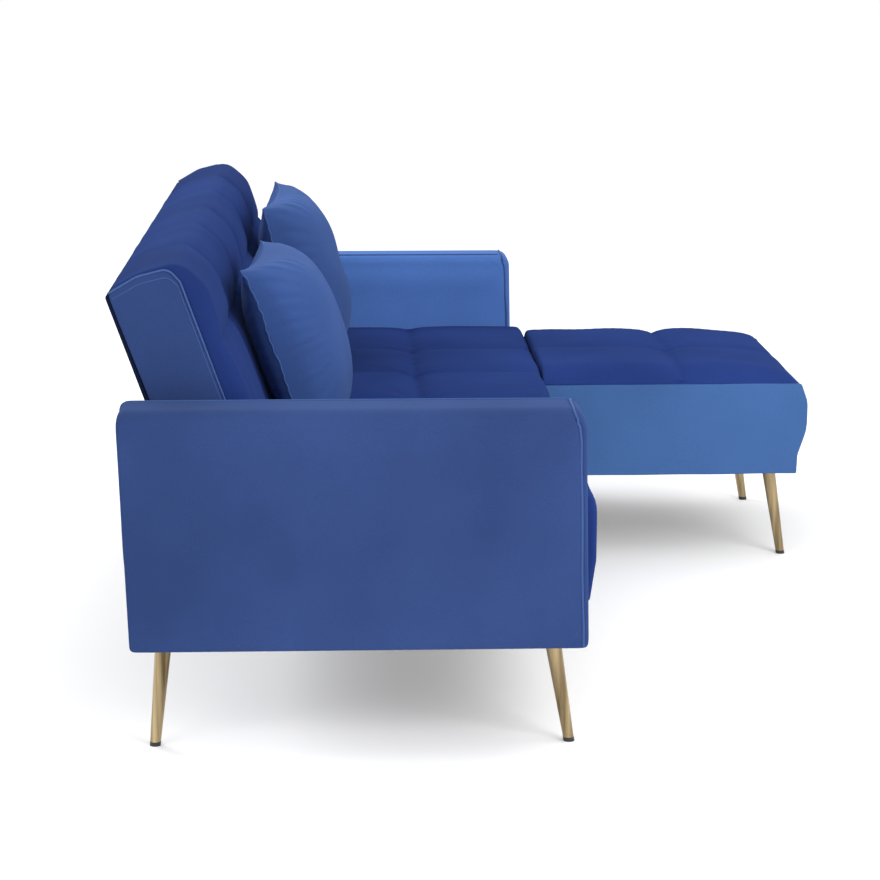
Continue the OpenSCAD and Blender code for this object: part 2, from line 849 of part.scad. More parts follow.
// The front pad: it rounds the pivot at its foot, and rolls over at its top
module backrest_pad() color(velvet) on_backrest() difference() {
    foot_angle = acos(back_seam / pivot_depth);
    along_x(-pad_half, pad_half) polygon(concat(
        outline([
            [-back_seam, back_seam_top, 0],
            [-pivot_depth + 6, back_seam_top - 7, 26],
            [-pivot_depth, back_roll_z, back_roll_r],
            [-pivot_depth, hinge_notch_top, 0]
        ]),
        [for (i = [0 : 8]) pivot_depth * [cos(180 + foot_angle * i / 8), sin(180 + foot_angle * i / 8)]]
    ));
    hinge_notches();
}

// The side view of the boxed panel, drawn in by inset; its top rises to the roll's highest line
module back_box_side(inset) {
    polygon(outline([
        [-back_seam, back_bottom + cut + inset, 0],
        [back_rear - inset, back_bottom + cut + inset, back_corner_r],
        [back_rear - inset, back_rear_top - inset, back_corner_r],
        [back_rear * 0.4, back_length - inset, back_roll_r],
        [-back_seam, back_seam_top - inset, 0]
    ]));
}

// The boxed cover, open to the front: a rear panel, a top and a bottom band, and two end panels
module backrest_cover() color(velvet_light) on_backrest() difference() {
    along_x(-pad_half, pad_half) back_box_side(0);
    along_x(-pad_half + skin, pad_half - skin) {
        back_box_side(skin);
        translate([-back_seam - cut, back_bottom + skin + cut])
            square([rail, back_seam_top - back_bottom - 3 * skin]);
    }
    block([-half, back_rear - skin - hairline, back_bottom], [half, back_rear - skin, back_length]);
    for (x = [-pad_half + skin, pad_half - skin - hairline]) {
        block([x, -back_seam - cut, back_bottom - cut],
              [x + hairline, back_rear - skin, back_length + cut]);
    }
    hinge_notches();
}

// ---- Ottoman ----

module ottoman_front_rail() color(timber) placed()
    block([ottoman_x0 + skin, o_rail_front, rail_bottom],
          [ottoman_x1 - skin, o_rail_front + rail, rail_top]);

module ottoman_rear_rail() color(timber) placed() difference() {
    block([ottoman_x0 + skin, o_rail_rear - rail, rail_bottom],
          [ottoman_x1 - skin, o_rail_rear, rail_top]);
    tongue_slots(o_rail_rear - rail - cut, o_rail_rear + cut);
}

// Two side rails, and a cross rail between them
module ottoman_side_rails() color(timber) placed() {
    y_mid = (o_rail_front + o_rail_rear) / 2;
    for (x = [ottoman_x0 + skin, ottoman_x1 - skin - rail]) {
        block([x, o_rail_front + rail, rail_bottom], [x + rail, o_rail_rear - rail, rail_top]);
    }
    block([ottoman_x0 + skin + rail + hairline, y_mid - rail / 2, rail_bottom],
          [ottoman_x1 - skin - rail - hairline, y_mid + rail / 2, rail_top]);
}

module ottoman_deck() color(board) placed()
    block([ottoman_x0 + skin, o_rail_front, rail_top], [ottoman_x1 - skin, o_rail_rear, slat_top]);

// The side view of the ottoman's pad, whose front wraps down to the strip
module ottoman_pad_side() pad_side(ottoman_front, ottoman_rear, o_panel_front, leg_height + ottoman_strip);

// The side view of a side panel: it follows the pad's bulge and ends at the seam
module ottoman_panel_side() intersection() {
    union() {
        ottoman_pad_side();
        translate([o_panel_front, leg_height]) square([ottoman_rear - o_panel_front, slat_top - leg_height]);
    }
    translate([ottoman_front, leg_height]) square([ottoman_length, panel_top - leg_height]);
}

// The pad: full width above the panels' seam, and narrower between the panels
module ottoman_pad() color(velvet) placed() difference() {
    along_x(ottoman_x0, ottoman_x1) ottoman_pad_side();
    difference() {
        block([ottoman_x0 - cut, ottoman_front - cut, leg_height],
              [ottoman_x1 + cut, ottoman_rear + cut, panel_top]);
        block([ottoman_x0 + skin, ottoman_front - 2 * cut, leg_height - cut],
              [ottoman_x1 - skin, o_rail_rear, panel_top + cut]);
    }
}

// The flat panels on both sides, the rear panel and the strip under the front bulge
module ottoman_side_cover() color(velvet_light) placed() difference() {
    union() {
        for (x = [ottoman_x0, ottoman_x1 - skin]) {
            along_x(x, x + skin) ottoman_panel_side();
        }
        block([ottoman_x0 + skin + hairline, o_rail_rear, leg_height],
              [ottoman_x1 - skin - hairline, ottoman_rear, panel_top]);
        block([ottoman_x0 + skin + hairline, o_panel_front, leg_height],
              [ottoman_x1 - skin - hairline, o_rail_front, leg_height + ottoman_strip]);
    }
    tongue_slots(o_rail_rear - cut, ottoman_rear + cut);
}

module ottoman_dust_cloth() color(cloth) placed() difference() {
    block([ottoman_x0 + skin, o_rail_front, rail_bottom - dust_cloth],
          [ottoman_x1 - skin, o_rail_rear, rail_bottom]);
    ottoman_stud_holes();
}

// The holes for the studs of the ottoman's legs
module ottoman_stud_holes() {
    for (x = ottoman_feet_x, y = [ottoman_front_foot_y + front_splay, ottoman_rear_foot_y]) {
        translate([x, y, leg_height]) cylinder(h = stud_height + fit, r = stud_r + fit);
    }
}

// The blocks that take the studs of the ottoman's legs
module ottoman_corner_blocks() color(timber) placed() {
    y_front = o_rail_front + rail;
    y_rear = o_rail_rear - rail;
    x0 = ottoman_x0 + skin + rail;
    x1 = ottoman_x1 - skin - rail;
    block_height = stud_height + 10;
    difference() {
        for (x = [x0, x1 - corner_block], y = [y_front, y_rear - corner_block]) {
            block([x + hairline, y + hairline, rail_bottom],
                  [x + corner_block - hairline, y + corner_block - hairline, rail_bottom + block_height]);
        }
        ottoman_stud_holes();
    }
}

module ottoman_leg_plates() color(steel) {
    for (x = ottoman_feet_x) {
        leg_plate(x, ottoman_front_foot_y + front_splay, leg_height);
        leg_plate(x, ottoman_rear_foot_y, leg_height);
    }
}

module ottoman_legs() color(gold) {
    for (x = ottoman_feet_x) {
        leg(x, ottoman_front_foot_y, front_splay);
        leg(x, ottoman_rear_foot_y, 0);
    }
}

module ottoman_glides() color(black) {
    for (x = ottoman_feet_x) {
        glide(x, ottoman_front_foot_y, front_splay);
        glide(x, ottoman_rear_foot_y, 0);
    }
}

module connector_tongues() color(steel) placed() {
    inner = o_rail_rear - rail;
    for (x = tongue_x) {
        block([x - tongue_width / 2, inner - tongue_wall, tongue_z],
              [x + tongue_width / 2, ottoman_rear + tongue_reach, tongue_z + tongue_wall]);
        block([x - tongue_width / 2, inner - tongue_wall, tongue_z],
              [x + tongue_width / 2, inner, tongue_z + tongue_foot]);
    }
}

// ---- Pillows ----

// The steps of a pillow from its seam to its middle: shares of its width, thickness and height
pillow_steps = [[1, 0, 1], [0.82, 0.66, 0.82], [0.55, 1, 0.56]];

// A pillow that leans on the backrest: thick in its middle and thin at its seam
module pillow_shape(inset) {
    seam_y = -pivot_depth - cut - pillow_back;
    edge = max(pillow_edge - inset, cut) / 2;
    middle_z = pillow_rise + pillow_height / 2;
    hull() {
        for (share = pillow_steps) {
            w = (pillow_width / 2 - inset) * share[0];
            front = max((pillow_front - inset) * share[1], edge);
            back = max((pillow_back - inset) * share[1], edge);
            h = (pillow_height / 2 - inset) * share[2];
            block([-w, seam_y - front, middle_z - h], [w, seam_y + back, middle_z + h]);
        }
    }
}

module pillow(x) on_backrest() translate([x, 0, 0]) difference() {
    pillow_shape(0);
    pillow_shape(pillow_wall);
}

module pillow_right() color(velvet) pillow(pillow_x);
module pillow_left() color(velvet) pillow(-pillow_x);

module pillow_insert(x) on_backrest() translate([x, 0, 0]) pillow_shape(pillow_wall + pillow_room);

module pillow_insert_right() color(foam) pillow_insert(pillow_x);
module pillow_insert_left() color(foam) pillow_insert(-pillow_x);

arm_cover_left();
arm_cover_right();
arm_piping_left();
arm_piping_right();
arm_frame_left();
arm_frame_right();
arm_boards_left();
arm_boards_right();
arm_bolts();
leg_front_left();
leg_front_right();
leg_rear_left();
leg_rear_right();
centre_legs();
leg_plates();
leg_glides();
seat_front_rail();
seat_rear_rail();
seat_side_rail_left();
seat_side_rail_right();
seat_cross_rails();
seat_slats();
seat_pad();
seat_front_strip();
seat_rear_strip();
seat_dust_cloth();
hinge_seat_plate_left();
hinge_seat_plate_right();
hinge_pins();
pawl_pins();
pawl_springs();
hinge_seat_screws();
connector_keepers();
pawl_left();
pawl_right();
backrest_top_rail();
backrest_bottom_rail();
backrest_posts();
backrest_slats();
backrest_pad();
backrest_cover();
hinge_back_plate_left();
hinge_back_plate_right();
hinge_back_screws();
ottoman_front_rail();
ottoman_rear_rail();
ottoman_side_rails();
ottoman_corner_blocks();
ottoman_deck();
ottoman_pad();
ottoman_side_cover();
ottoman_dust_cloth();
ottoman_legs();
ottoman_leg_plates();
ottoman_glides();
connector_tongues();
pillow_left();
pillow_right();
pillow_insert_left();
pillow_insert_right();
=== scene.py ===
# %% [markdown]
# # A click-clack sofa bed in blue velvet
# The sofa stands on tapered gold legs. It has two slab arms, a tufted seat, a backrest that folds
# flat, a tufted ottoman that makes it L-shaped, and two loose pillows. The frame, the hinges and the
# legs come from the CAD model. This script puts the soft goods around them: every visible pad, panel
# and pillow is modelled as padded velvet, with its seams, its piping and its tufting.

# %% Load the frame
import json
import math

import bpy
import numpy as np
from mathutils import Matrix, Vector


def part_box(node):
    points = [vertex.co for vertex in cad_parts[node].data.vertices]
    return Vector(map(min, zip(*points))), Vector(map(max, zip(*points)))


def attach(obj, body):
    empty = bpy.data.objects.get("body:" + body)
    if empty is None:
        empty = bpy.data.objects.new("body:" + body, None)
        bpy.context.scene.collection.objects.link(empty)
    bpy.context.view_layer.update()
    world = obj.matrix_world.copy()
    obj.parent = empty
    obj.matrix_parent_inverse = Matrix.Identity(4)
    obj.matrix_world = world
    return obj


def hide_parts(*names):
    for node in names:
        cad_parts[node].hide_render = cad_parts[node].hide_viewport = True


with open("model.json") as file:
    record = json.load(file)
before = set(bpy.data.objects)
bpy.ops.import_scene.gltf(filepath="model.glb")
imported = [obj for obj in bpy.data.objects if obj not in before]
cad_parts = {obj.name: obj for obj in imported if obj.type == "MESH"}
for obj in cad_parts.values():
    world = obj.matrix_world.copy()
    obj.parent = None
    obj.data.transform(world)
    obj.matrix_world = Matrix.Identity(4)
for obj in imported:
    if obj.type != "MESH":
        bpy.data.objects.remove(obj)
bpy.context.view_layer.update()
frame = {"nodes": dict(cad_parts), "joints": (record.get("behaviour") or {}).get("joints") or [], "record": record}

# %% [markdown]
# ## Floor, light and camera
# A product like this is shot on a white sweep with large soft lights, so that velvet shows its nap
# without hard shadows. A floor plane and a pale world are enough. The biggest light stands on the
# camera's side and low, because velvet that faces it turns pale while the seat's top stays deep. A
# small one between the arms reaches the inner face of the far arm and the side of the ottoman.

# %% Floor and world
bpy.ops.object.select_all(action="DESELECT")
bpy.ops.mesh.primitive_plane_add(size=60)
floor = bpy.context.object
floor.name = "floor"

floor_paint = bpy.data.materials.new("floor_paint")
floor_paint.use_nodes = True
floor_shader = floor_paint.node_tree.nodes["Principled BSDF"]
floor_shader.inputs["Base Color"].default_value = (0.95, 0.95, 0.95, 1)
floor_shader.inputs["Emission Color"].default_value = (1, 1, 1, 1)
floor_shader.inputs["Emission Strength"].default_value = 0.10
floor_shader.inputs["Roughness"].default_value = 0.7
floor.data.materials.append(floor_paint)

world = bpy.data.worlds.new("studio")
world.use_nodes = True
world.node_tree.nodes["Background"].inputs["Color"].default_value = (1.0, 1.0, 1.0, 1)
world.node_tree.nodes["Background"].inputs["Strength"].default_value = 1.0
bpy.context.scene.world = world
bpy.context.scene.view_settings.view_transform = "Standard"
print("floor and world ready")

# %% Lights


def soft_light(name, place, aim, size, power):
    """A square soft box at a place, turned to face a point."""
    bpy.ops.object.light_add(type="AREA", location=place)
    lamp = bpy.context.object
    lamp.name = name
    lamp.data.size = size
    lamp.data.energy = power
    lamp.rotation_euler = (Vector(aim) - Vector(place)).to_track_quat("-Z", "Y").to_euler()
    return lamp


soft_light("key", (-4.2, -2.8, 2.4), (0.3, -0.1, 0.4), 2.4, 120)
soft_light("fill", (-3.4, 2.6, 1.9), (-0.4, 0.3, 0.4), 2.0, 28)
soft_light("rim", (2.0, 2.6, 3.2), (0.2, 0.1, 0.5), 2.0, 60)
soft_light("inner", (-0.9, -0.9, 1.7), (0.7, -0.3, 0.4), 1.0, 8)
print("four lights")

# %% Camera
camera_tilt = 11.64
camera_turn = 2.08
bpy.ops.object.camera_add(location=(-4.844, 0.292, 1.326))
camera = bpy.context.object
camera.rotation_euler = (math.radians(90 - camera_tilt), 0, math.radians(-90 - camera_turn))
camera.data.sensor_width = 36
camera.data.lens = 102.3
camera.data.shift_x = 0.0058
camera.data.shift_y = -0.0034
bpy.context.scene.camera = camera
print("camera at", tuple(round(v, 3) for v in camera.location))

# %% [markdown]
# ## Velvet
# Velvet is a short dense pile. Seen straight on it is deep and dull, and along its edges it goes pale,
# because the tips of the pile catch the light: that is what sheen is for. Where a hand has brushed the
# pile the other way it is lighter or darker in soft patches, so a large slow noise shifts the colour.
# A very fine noise gives the pile its grain in both colour and bump. Each kind of panel gets its own
# copy of the same recipe, and most copies are lit or shaded copies: painted shade darkens the pads'
# tops, the backrest and its rear, and painted light makes the far arm, the ottoman's sides and the
# pipings paler.

# %% Parts of a material
def plain_parts(name):
    """A new material with its nodes, its links, its shader and its object coordinates."""
    paint = bpy.data.materials.new(name)
    paint.use_nodes = True
    nodes = paint.node_tree.nodes
    links = paint.node_tree.links
    where = nodes.new("ShaderNodeTexCoord").outputs["Object"]
    return paint, nodes, links, nodes["Principled BSDF"], where


def stretched(nodes, links, where, scale):
    """Object coordinates scaled along each axis."""
    node = nodes.new("ShaderNodeMapping")
    node.inputs["Scale"].default_value = scale
    links.new(where, node.inputs["Vector"])
    return node.outputs["Vector"]


def noise(nodes, links, where, scale, detail, roughness=0.5):
    """A noise texture's value at the given coordinates."""
    node = nodes.new("ShaderNodeTexNoise")
    node.inputs["Scale"].default_value = scale
    node.inputs["Detail"].default_value = detail
    node.inputs["Roughness"].default_value = roughness
    links.new(where, node.inputs["Vector"])
    return node.outputs["Fac"]


def ramp(nodes, links, value, low, high, low_at, high_at):
    """A colour that runs from low to high while a value runs from low_at to high_at."""
    node = nodes.new("ShaderNodeValToRGB")
    for end, place, colour in zip(node.color_ramp.elements, (low_at, high_at), (low, high)):
        end.position = place
        end.color = (*colour, 1)
    links.new(value, node.inputs["Fac"])
    return node.outputs["Color"]


def uneven_polish(nodes, links, shader, value, low, high):
    """Lets a value move the roughness between low and high."""
    node = nodes.new("ShaderNodeMapRange")
    node.inputs["To Min"].default_value = low
    node.inputs["To Max"].default_value = high
    links.new(value, node.inputs["Value"])
    links.new(node.outputs["Result"], shader.inputs["Roughness"])


def relief(nodes, links, shader, value, strength, depth):
    """Lets a value raise a fine bump."""
    node = nodes.new("ShaderNodeBump")
    node.inputs["Strength"].default_value = strength
    node.inputs["Distance"].default_value = depth
    links.new(value, node.inputs["Height"])
    links.new(node.outputs["Normal"], shader.inputs["Normal"])


# %% Velvet material
nap_contrast = 0.16
patch_scale = 2.2
pile_scale = 900.0
sheen_tint = (0.35, 0.52, 1.0, 1)


def velvet(name, colour, sheen, brushed=1.0):
    """Velvet of one mean colour. Brushed is how strongly its nap is marked."""
    paint, nodes, links, shader, where = plain_parts(name)
    patches = noise(nodes, links, where, patch_scale, 4.0)
    pile = noise(nodes, links, where, pile_scale, 2.0, 0.7)
    deep = [c * (1 - nap_contrast * brushed) for c in colour]
    pale = [c * (1 + nap_contrast * brushed) for c in colour]
    tone = ramp(nodes, links, patches, deep, pale, 0.36, 0.64)
    grain = ramp(nodes, links, pile, (0.80, 0.80, 0.82), (1.15, 1.15, 1.13), 0.3, 0.7)
    mix = nodes.new("ShaderNodeMix")
    mix.data_type = "RGBA"
    mix.blend_type = "MULTIPLY"
    mix.inputs["Factor"].default_value = 1.0
    links.new(tone, mix.inputs["A"])
    links.new(grain, mix.inputs["B"])
    links.new(mix.outputs["Result"], shader.inputs["Base Color"])
    uneven_polish(nodes, links, shader, patches, 0.72, 0.92)
    relief(nodes, links, shader, pile, 0.25, 0.0006)
    shader.inputs["Specular IOR Level"].default_value = 0.0
    shader.inputs["Sheen Weight"].default_value = sheen
    shader.inputs["Sheen Roughness"].default_value = 0.45
    shader.inputs["Sheen Tint"].default_value = sheen_tint
    return paint


velvet_panel = velvet("velvet_panel", (0.0265, 0.0500, 0.150), 0.14)
# Paler copy for the far (right) arm: painted light on its inner face, which faces the lamps
velvet_painted_lit = velvet("velvet_painted_lit", (0.0700, 0.1570, 0.430), 0.16, 0.7)
# Darker copy with little sheen for the seat and ottoman pads: painted shade on their tops
velvet_pad_painted_shade = velvet("velvet_pad_painted_shade", (0.0150, 0.0330, 0.143), 0.045)
# Darker copy for the backrest cushion: painted shade on its front and top
velvet_back_painted_shade = velvet("velvet_back_painted_shade", (0.0140, 0.0300, 0.130), 0.07)
# Paler copy for the ottoman's side, rear and strip panels: painted light where the lamps reach them
velvet_side_painted_lit = velvet("velvet_side_painted_lit", (0.0440, 0.1020, 0.255), 0.18, 0.7)
velvet_pillow = velvet("velvet_pillow", (0.0340, 0.0700, 0.210), 0.18, 1.2)
# Near-black copy for the backrest's rear panel: painted shade along the rounded rear edge
velvet_rear_painted_shade = velvet("velvet_rear_painted_shade", (0.0060, 0.0100, 0.028), 0.02, 0.4)
# Paler copy with more sheen for pipings and stitching: its paler colour is a painted highlight on the round cords
velvet_piping_painted_highlight = velvet("velvet_piping_painted_highlight", (0.0450, 0.0860, 0.235), 0.30, 0.3)
print("velvets:", 8)

# %% [markdown]
# ## Metal, plastic, wood and cloth
# The legs are plated steel in antique gold: a metal with long brush marks and slightly uneven polish.
# The streaks of its colour are partly painted reflections: dark where the room would be mirrored and
# warm where the lights would be.
# The glides are black moulded plastic. The frame hides inside, but it shows when the bed is opened
# or turned over, so its timber, board, steel and black underside cloth have their own finishes.

# %% Hard materials
def metal(name, dark, light, rough_low, rough_high, marks):
    """A metal with brush marks along one axis and an uneven polish; the streaks in its colour also paint dark and
    light reflections.
    """
    paint, nodes, links, shader, where = plain_parts(name)
    streaks_and_reflections = noise(nodes, links, stretched(nodes, links, where, marks), 60.0, 5.0)
    links.new(ramp(nodes, links, streaks_and_reflections, dark, light, 0.3, 0.7), shader.inputs["Base Color"])
    uneven_polish(nodes, links, shader, streaks_and_reflections, rough_low, rough_high)
    relief(nodes, links, shader, streaks_and_reflections, 0.06, 0.0004)
    shader.inputs["Metallic"].default_value = 1.0
    return paint


def plastic(name, colour, grain_scale):
    """A matt moulded plastic with a fine grain."""
    paint, nodes, links, shader, where = plain_parts(name)
    grain = noise(nodes, links, where, grain_scale, 3.0)
    dull = [c * 0.7 for c in colour]
    links.new(ramp(nodes, links, grain, dull, colour, 0.35, 0.65), shader.inputs["Base Color"])
    relief(nodes, links, shader, grain, 0.15, 0.0003)
    shader.inputs["Roughness"].default_value = 0.55
    return paint


def wood(name, pale, dark, along):
    """Timber: rings stretched along one axis, with a finer streak over them."""
    paint, nodes, links, shader, where = plain_parts(name)
    grain = noise(nodes, links, stretched(nodes, links, where, along), 14.0, 6.0, 0.6)
    links.new(ramp(nodes, links, grain, dark, pale, 0.35, 0.62), shader.inputs["Base Color"])
    relief(nodes, links, shader, grain, 0.2, 0.0005)
    shader.inputs["Roughness"].default_value = 0.6
    return paint


# The gold's dark and warm ends are painted reflections as well as brush marks: its dark streaks and warm
# highlights
gold = metal("antique_gold", (0.10, 0.070, 0.034), (0.52, 0.40, 0.225), 0.16, 0.30, (1, 1, 0.03))
steel = metal("pressed_steel", (0.30, 0.31, 0.33), (0.50, 0.51, 0.53), 0.32, 0.50, (0.1, 1, 1))
spring_steel = metal("spring_steel", (0.08, 0.08, 0.09), (0.16, 0.16, 0.17), 0.35, 0.5, (1, 1, 1))
glide_plastic = plastic("glide_plastic", (0.018, 0.018, 0.020), 700.0)
timber = wood("timber", (0.66, 0.49, 0.30), (0.42, 0.28, 0.15), (0.15, 1, 1))
board = wood("board", (0.56, 0.41, 0.25), (0.38, 0.26, 0.14), (0.2, 1.5, 1.5))
under_cloth = plastic("under_cloth", (0.022, 0.022, 0.026), 1400.0)
pillow_fill = plastic("pillow_fill", (0.70, 0.68, 0.62), 300.0)
print("hard materials:", 8)

# %% Give the CAD nodes their finishes
finish_of = {
    "velvet": velvet_panel, "piping": velvet_piping_painted_highlight, "timber": timber, "board": board,
    "legs": gold, "steel": steel, "spring": spring_steel, "glide": glide_plastic,
    "dust_cloth": under_cloth, "pillow_fill": pillow_fill,
}
for part in frame["record"]["subparts"]:
    mesh = frame["nodes"][part["node"]].data
    mesh.materials.clear()
    mesh.materials.append(finish_of[part["material_slot"]])

# %% [markdown]
# ## Tools for padded pieces
# Every padded piece starts as a plain closed shape. It is drawn as a side view, extruded along the
# sofa and bevelled, as one would by hand. A voxel remesh then gives it even faces, a short cloth
# simulation blows it up a little while its seams are held, and the seams and puckers are pressed in
# afterwards. The outline helper rounds each corner of a side view with an arc.

# %% Outline and extrusion
def unit(vector):
    """A vector of length one."""
    return vector / np.linalg.norm(vector)


def rounded(corners, steps=6):
    """The points of an outline from (y, z, radius) corners, with an arc at each rounded one."""
    found = []
    count = len(corners)
    for i, (y, z, radius) in enumerate(corners):
        here = np.array((y, z))
        if radius == 0:
            found.append(here)
            continue
        back = unit(np.array(corners[i - 1][:2]) - here)
        onward = unit(np.array(corners[(i + 1) % count][:2]) - here)
        half = math.acos(float(back @ onward)) / 2
        middle = here + unit(back + onward) * radius / math.sin(half)
        start = here + back * radius / math.tan(half) - middle
        end = here + onward * radius / math.tan(half) - middle
        first = math.atan2(start[1], start[0])
        turn = math.remainder(math.atan2(end[1], end[0]) - first, 2 * math.pi)
        for step in range(steps + 1):
            angle = first + turn * step / steps
            found.append(middle + radius * np.array((math.cos(angle), math.sin(angle))))
    return found


def select_only(piece):
    """Makes one object the selected and active one."""
    bpy.ops.object.select_all(action="DESELECT")
    piece.select_set(True)
    bpy.context.view_layer.objects.active = piece


def extruded(name, outline, x0, x1, edge=0.0, segments=3):
    """A side view drawn out along X from x0 to x1, with its two end faces bevelled by edge."""
    bpy.ops.object.select_all(action="DESELECT")
    bpy.ops.mesh.primitive_circle_add(vertices=len(outline), fill_type="NGON")
    piece = bpy.context.object
    piece.name = name
    for vertex, (y, z) in zip(piece.data.vertices, outline):
        vertex.co = (x0, y, z)
    bpy.ops.object.mode_set(mode="EDIT")
    bpy.ops.mesh.select_all(action="SELECT")
    bpy.ops.mesh.extrude_region_move(TRANSFORM_OT_translate={"value": (x1 - x0, 0, 0)})
    bpy.ops.mesh.select_all(action="SELECT")
    bpy.ops.mesh.normals_make_consistent(inside=False)
    bpy.ops.object.mode_set(mode="OBJECT")
    if edge > 0:
        bevel_ends(piece, edge, segments)
    return piece


def bevel_ends(piece, edge, segments):
    """Bevels the edges around a piece's two end faces."""
    for kind in (piece.data.vertices, piece.data.edges, piece.data.polygons):
        for item in kind:
            item.select = False
    for face in piece.data.polygons:
        face.select = abs(face.normal.x) > 0.99
    bpy.ops.object.mode_set(mode="EDIT")
    bpy.ops.mesh.select_mode(type="FACE")
    bpy.ops.mesh.region_to_loop()
    bpy.ops.mesh.bevel(offset=edge, segments=segments, affect="EDGES")
    bpy.ops.object.mode_set(mode="OBJECT")


# %% Reading, writing and simulating a mesh
def points(piece):
    """A mesh's vertices as an array of rows x, y, z."""
    flat = np.empty(len(piece.data.vertices) * 3)
    piece.data.vertices.foreach_get("co", flat)
    return flat.reshape(-1, 3)


def normals(piece):
    """A mesh's vertex normals as an array of rows x, y, z."""
    flat = np.empty(len(piece.data.vertices) * 3)
    piece.data.vertex_normals.foreach_get("vector", flat)
    return flat.reshape(-1, 3)


def put(piece, rows):
    """Writes vertices back to a mesh."""
    piece.data.vertices.foreach_set("co", np.ascontiguousarray(rows).ravel())
    piece.data.update()


def apply(piece, kind, **settings):
    """Adds a modifier with its settings, and applies it."""
    select_only(piece)
    modifier = piece.modifiers.new(kind.lower(), kind)
    for key, value in settings.items():
        setattr(modifier, key, value)
    bpy.ops.object.modifier_apply(modifier=modifier.name)


def remesh(piece, voxel, relax=4):
    """Even square faces all over, relaxed a little so that slopes lose their steps."""
    select_only(piece)
    piece.data.remesh_voxel_size = voxel
    bpy.ops.object.voxel_remesh()
    apply(piece, "SMOOTH", factor=0.5, iterations=relax)


def inflate(piece, cap, held=None, pressure=4.0, frames=20):
    """Blows a closed piece up by cloth simulation while some of its points are held."""
    select_only(piece)
    start = points(piece)
    cloth = piece.modifiers.new("cloth", "CLOTH")
    cloth.settings.use_pressure = True
    cloth.settings.uniform_pressure_force = pressure
    cloth.settings.effector_weights.gravity = 0
    cloth.settings.quality = 4
    cloth.point_cache.frame_end = frames
    if held is not None:
        group = piece.vertex_groups.new(name="held")
        group.add([int(i) for i in np.flatnonzero(held)], 1.0, "REPLACE")
        cloth.settings.vertex_group_mass = "held"
    for step in range(1, frames + 1):
        bpy.context.scene.frame_set(step)
    bpy.ops.object.modifier_apply(modifier="cloth")
    bpy.context.scene.frame_set(1)
    piece.vertex_groups.clear()
    move = points(piece) - start
    length = np.maximum(np.linalg.norm(move, axis=1, keepdims=True), 1e-9)
    put(piece, start + move / length * cap * np.tanh(length / cap))


def smooth(piece, material, levels=1):
    """One subdivision, smooth shading and the piece's material."""
    if levels:
        apply(piece, "SUBSURF", levels=levels, render_levels=levels)
    select_only(piece)
    bpy.ops.object.shade_smooth()
    piece.data.materials.clear()
    piece.data.materials.append(material)


# %% [markdown]
# ## Folds and seams by formula
# A seam is a sharp valley with soft shoulders. Where two seams cross, the cloth is drawn down to a
# point and small folds run out from it like the spokes of a wheel. Along a seam the cloth is gathered
# in fine ripples. On the flat of a panel, slow waves of a millimetre or two stand for foam under
# cloth. All of them are sums of plain functions of place, so they come out the same every time.

# %% Formulas
def waves(rows, size, seed, count=7):
    """Slow irregular waves between about -1 and 1, with the given size in metres."""
    picker = np.random.default_rng(seed)
    total = np.zeros(len(rows))
    for _ in range(count):
        way = unit(picker.normal(size=3)) * 2 * math.pi / size * picker.uniform(0.6, 1.5)
        total += np.sin(rows @ way + picker.uniform(0, 2 * math.pi))
    return total / math.sqrt(count)


def valley(distance, width):
    """One on a seam, falling away on both sides with a sharp bottom."""
    return np.exp(-np.abs(distance) / width)


def bump_at(distance, width):
    """One at a place, falling away on both sides with a round top."""
    return np.exp(-((distance / width) ** 2))


def spokes(du, dv, count, reach, seed):
    """Folds that run out from a crossing, as seen from it."""
    angle = np.arctan2(dv, du)
    away = np.hypot(du, dv)
    turn = np.random.default_rng(seed).uniform(0, 2 * math.pi)
    fold = np.sin(count * angle + turn) + 0.6 * np.sin((count + 3) * angle - 2 * turn)
    return fold * np.exp(-away / reach) * (1 - np.exp(-away / 0.008))


def nearest(values, lines):
    """The signed distance from each value to the nearest line."""
    gaps = values[:, None] - np.array(lines)[None, :]
    best = np.abs(gaps).argmin(axis=1)
    return gaps[np.arange(len(values)), best]


def tufting(u, v, u_lines, v_lines, u_depth, v_depth, seed):
    """How far a tufted face sinks at (u, v), with seams at the lines and a pucker at each crossing."""
    du = nearest(u, u_lines)
    dv = nearest(v, v_lines)
    sink = u_depth * valley(du, 0.014) + v_depth * valley(dv, 0.013)
    sink += 0.20 * v_depth * bump_at(dv, 0.055) + 0.35 * u_depth * bump_at(du, 0.055)
    for i, line_u in enumerate(u_lines):
        for j, line_v in enumerate(v_lines):
            pu = u - line_u
            pv = v - line_v
            away = np.hypot(pu, pv)
            near = away < 0.16
            sink[near] += 0.007 * np.exp(-away[near] / 0.022)
            sink[near] += 0.0022 * spokes(pu[near], pv[near], 7, 0.045, seed + 31 * i + 7 * j)
    ripple = waves(np.stack([u, 0.2 * v, 0 * u], axis=1), 0.045, seed) * bump_at(dv, 0.020)
    return sink + 0.0008 * ripple


def distance_to_outline(y, z, outline):
    """How far each point of a side view is from a closed outline."""
    best = np.full(len(y), 1e9)
    for i, end in enumerate(outline):
        start = outline[i - 1]
        along = end - start
        reach = (y - start[0]) * along[0] + (z - start[1]) * along[1]
        share = np.clip(reach / max(float(along @ along), 1e-12), 0, 1)
        gap = np.hypot(y - start[0] - share * along[0], z - start[1] - share * along[1])
        best = np.minimum(best, gap)
    return best


def inside_outline(y, z, outline):
    """Whether each point of a side view is inside a closed outline."""
    found = np.zeros(len(y), bool)
    for i, (y1, z1) in enumerate(outline):
        y0, z0 = outline[i - 1]
        crosses = (z0 > z) != (z1 > z)
        span = z1 - z0 if z1 != z0 else 1e-12
        found ^= crosses & (y < (y1 - y0) * (z - z0) / span + y0)
    return found


print("helpers ready")

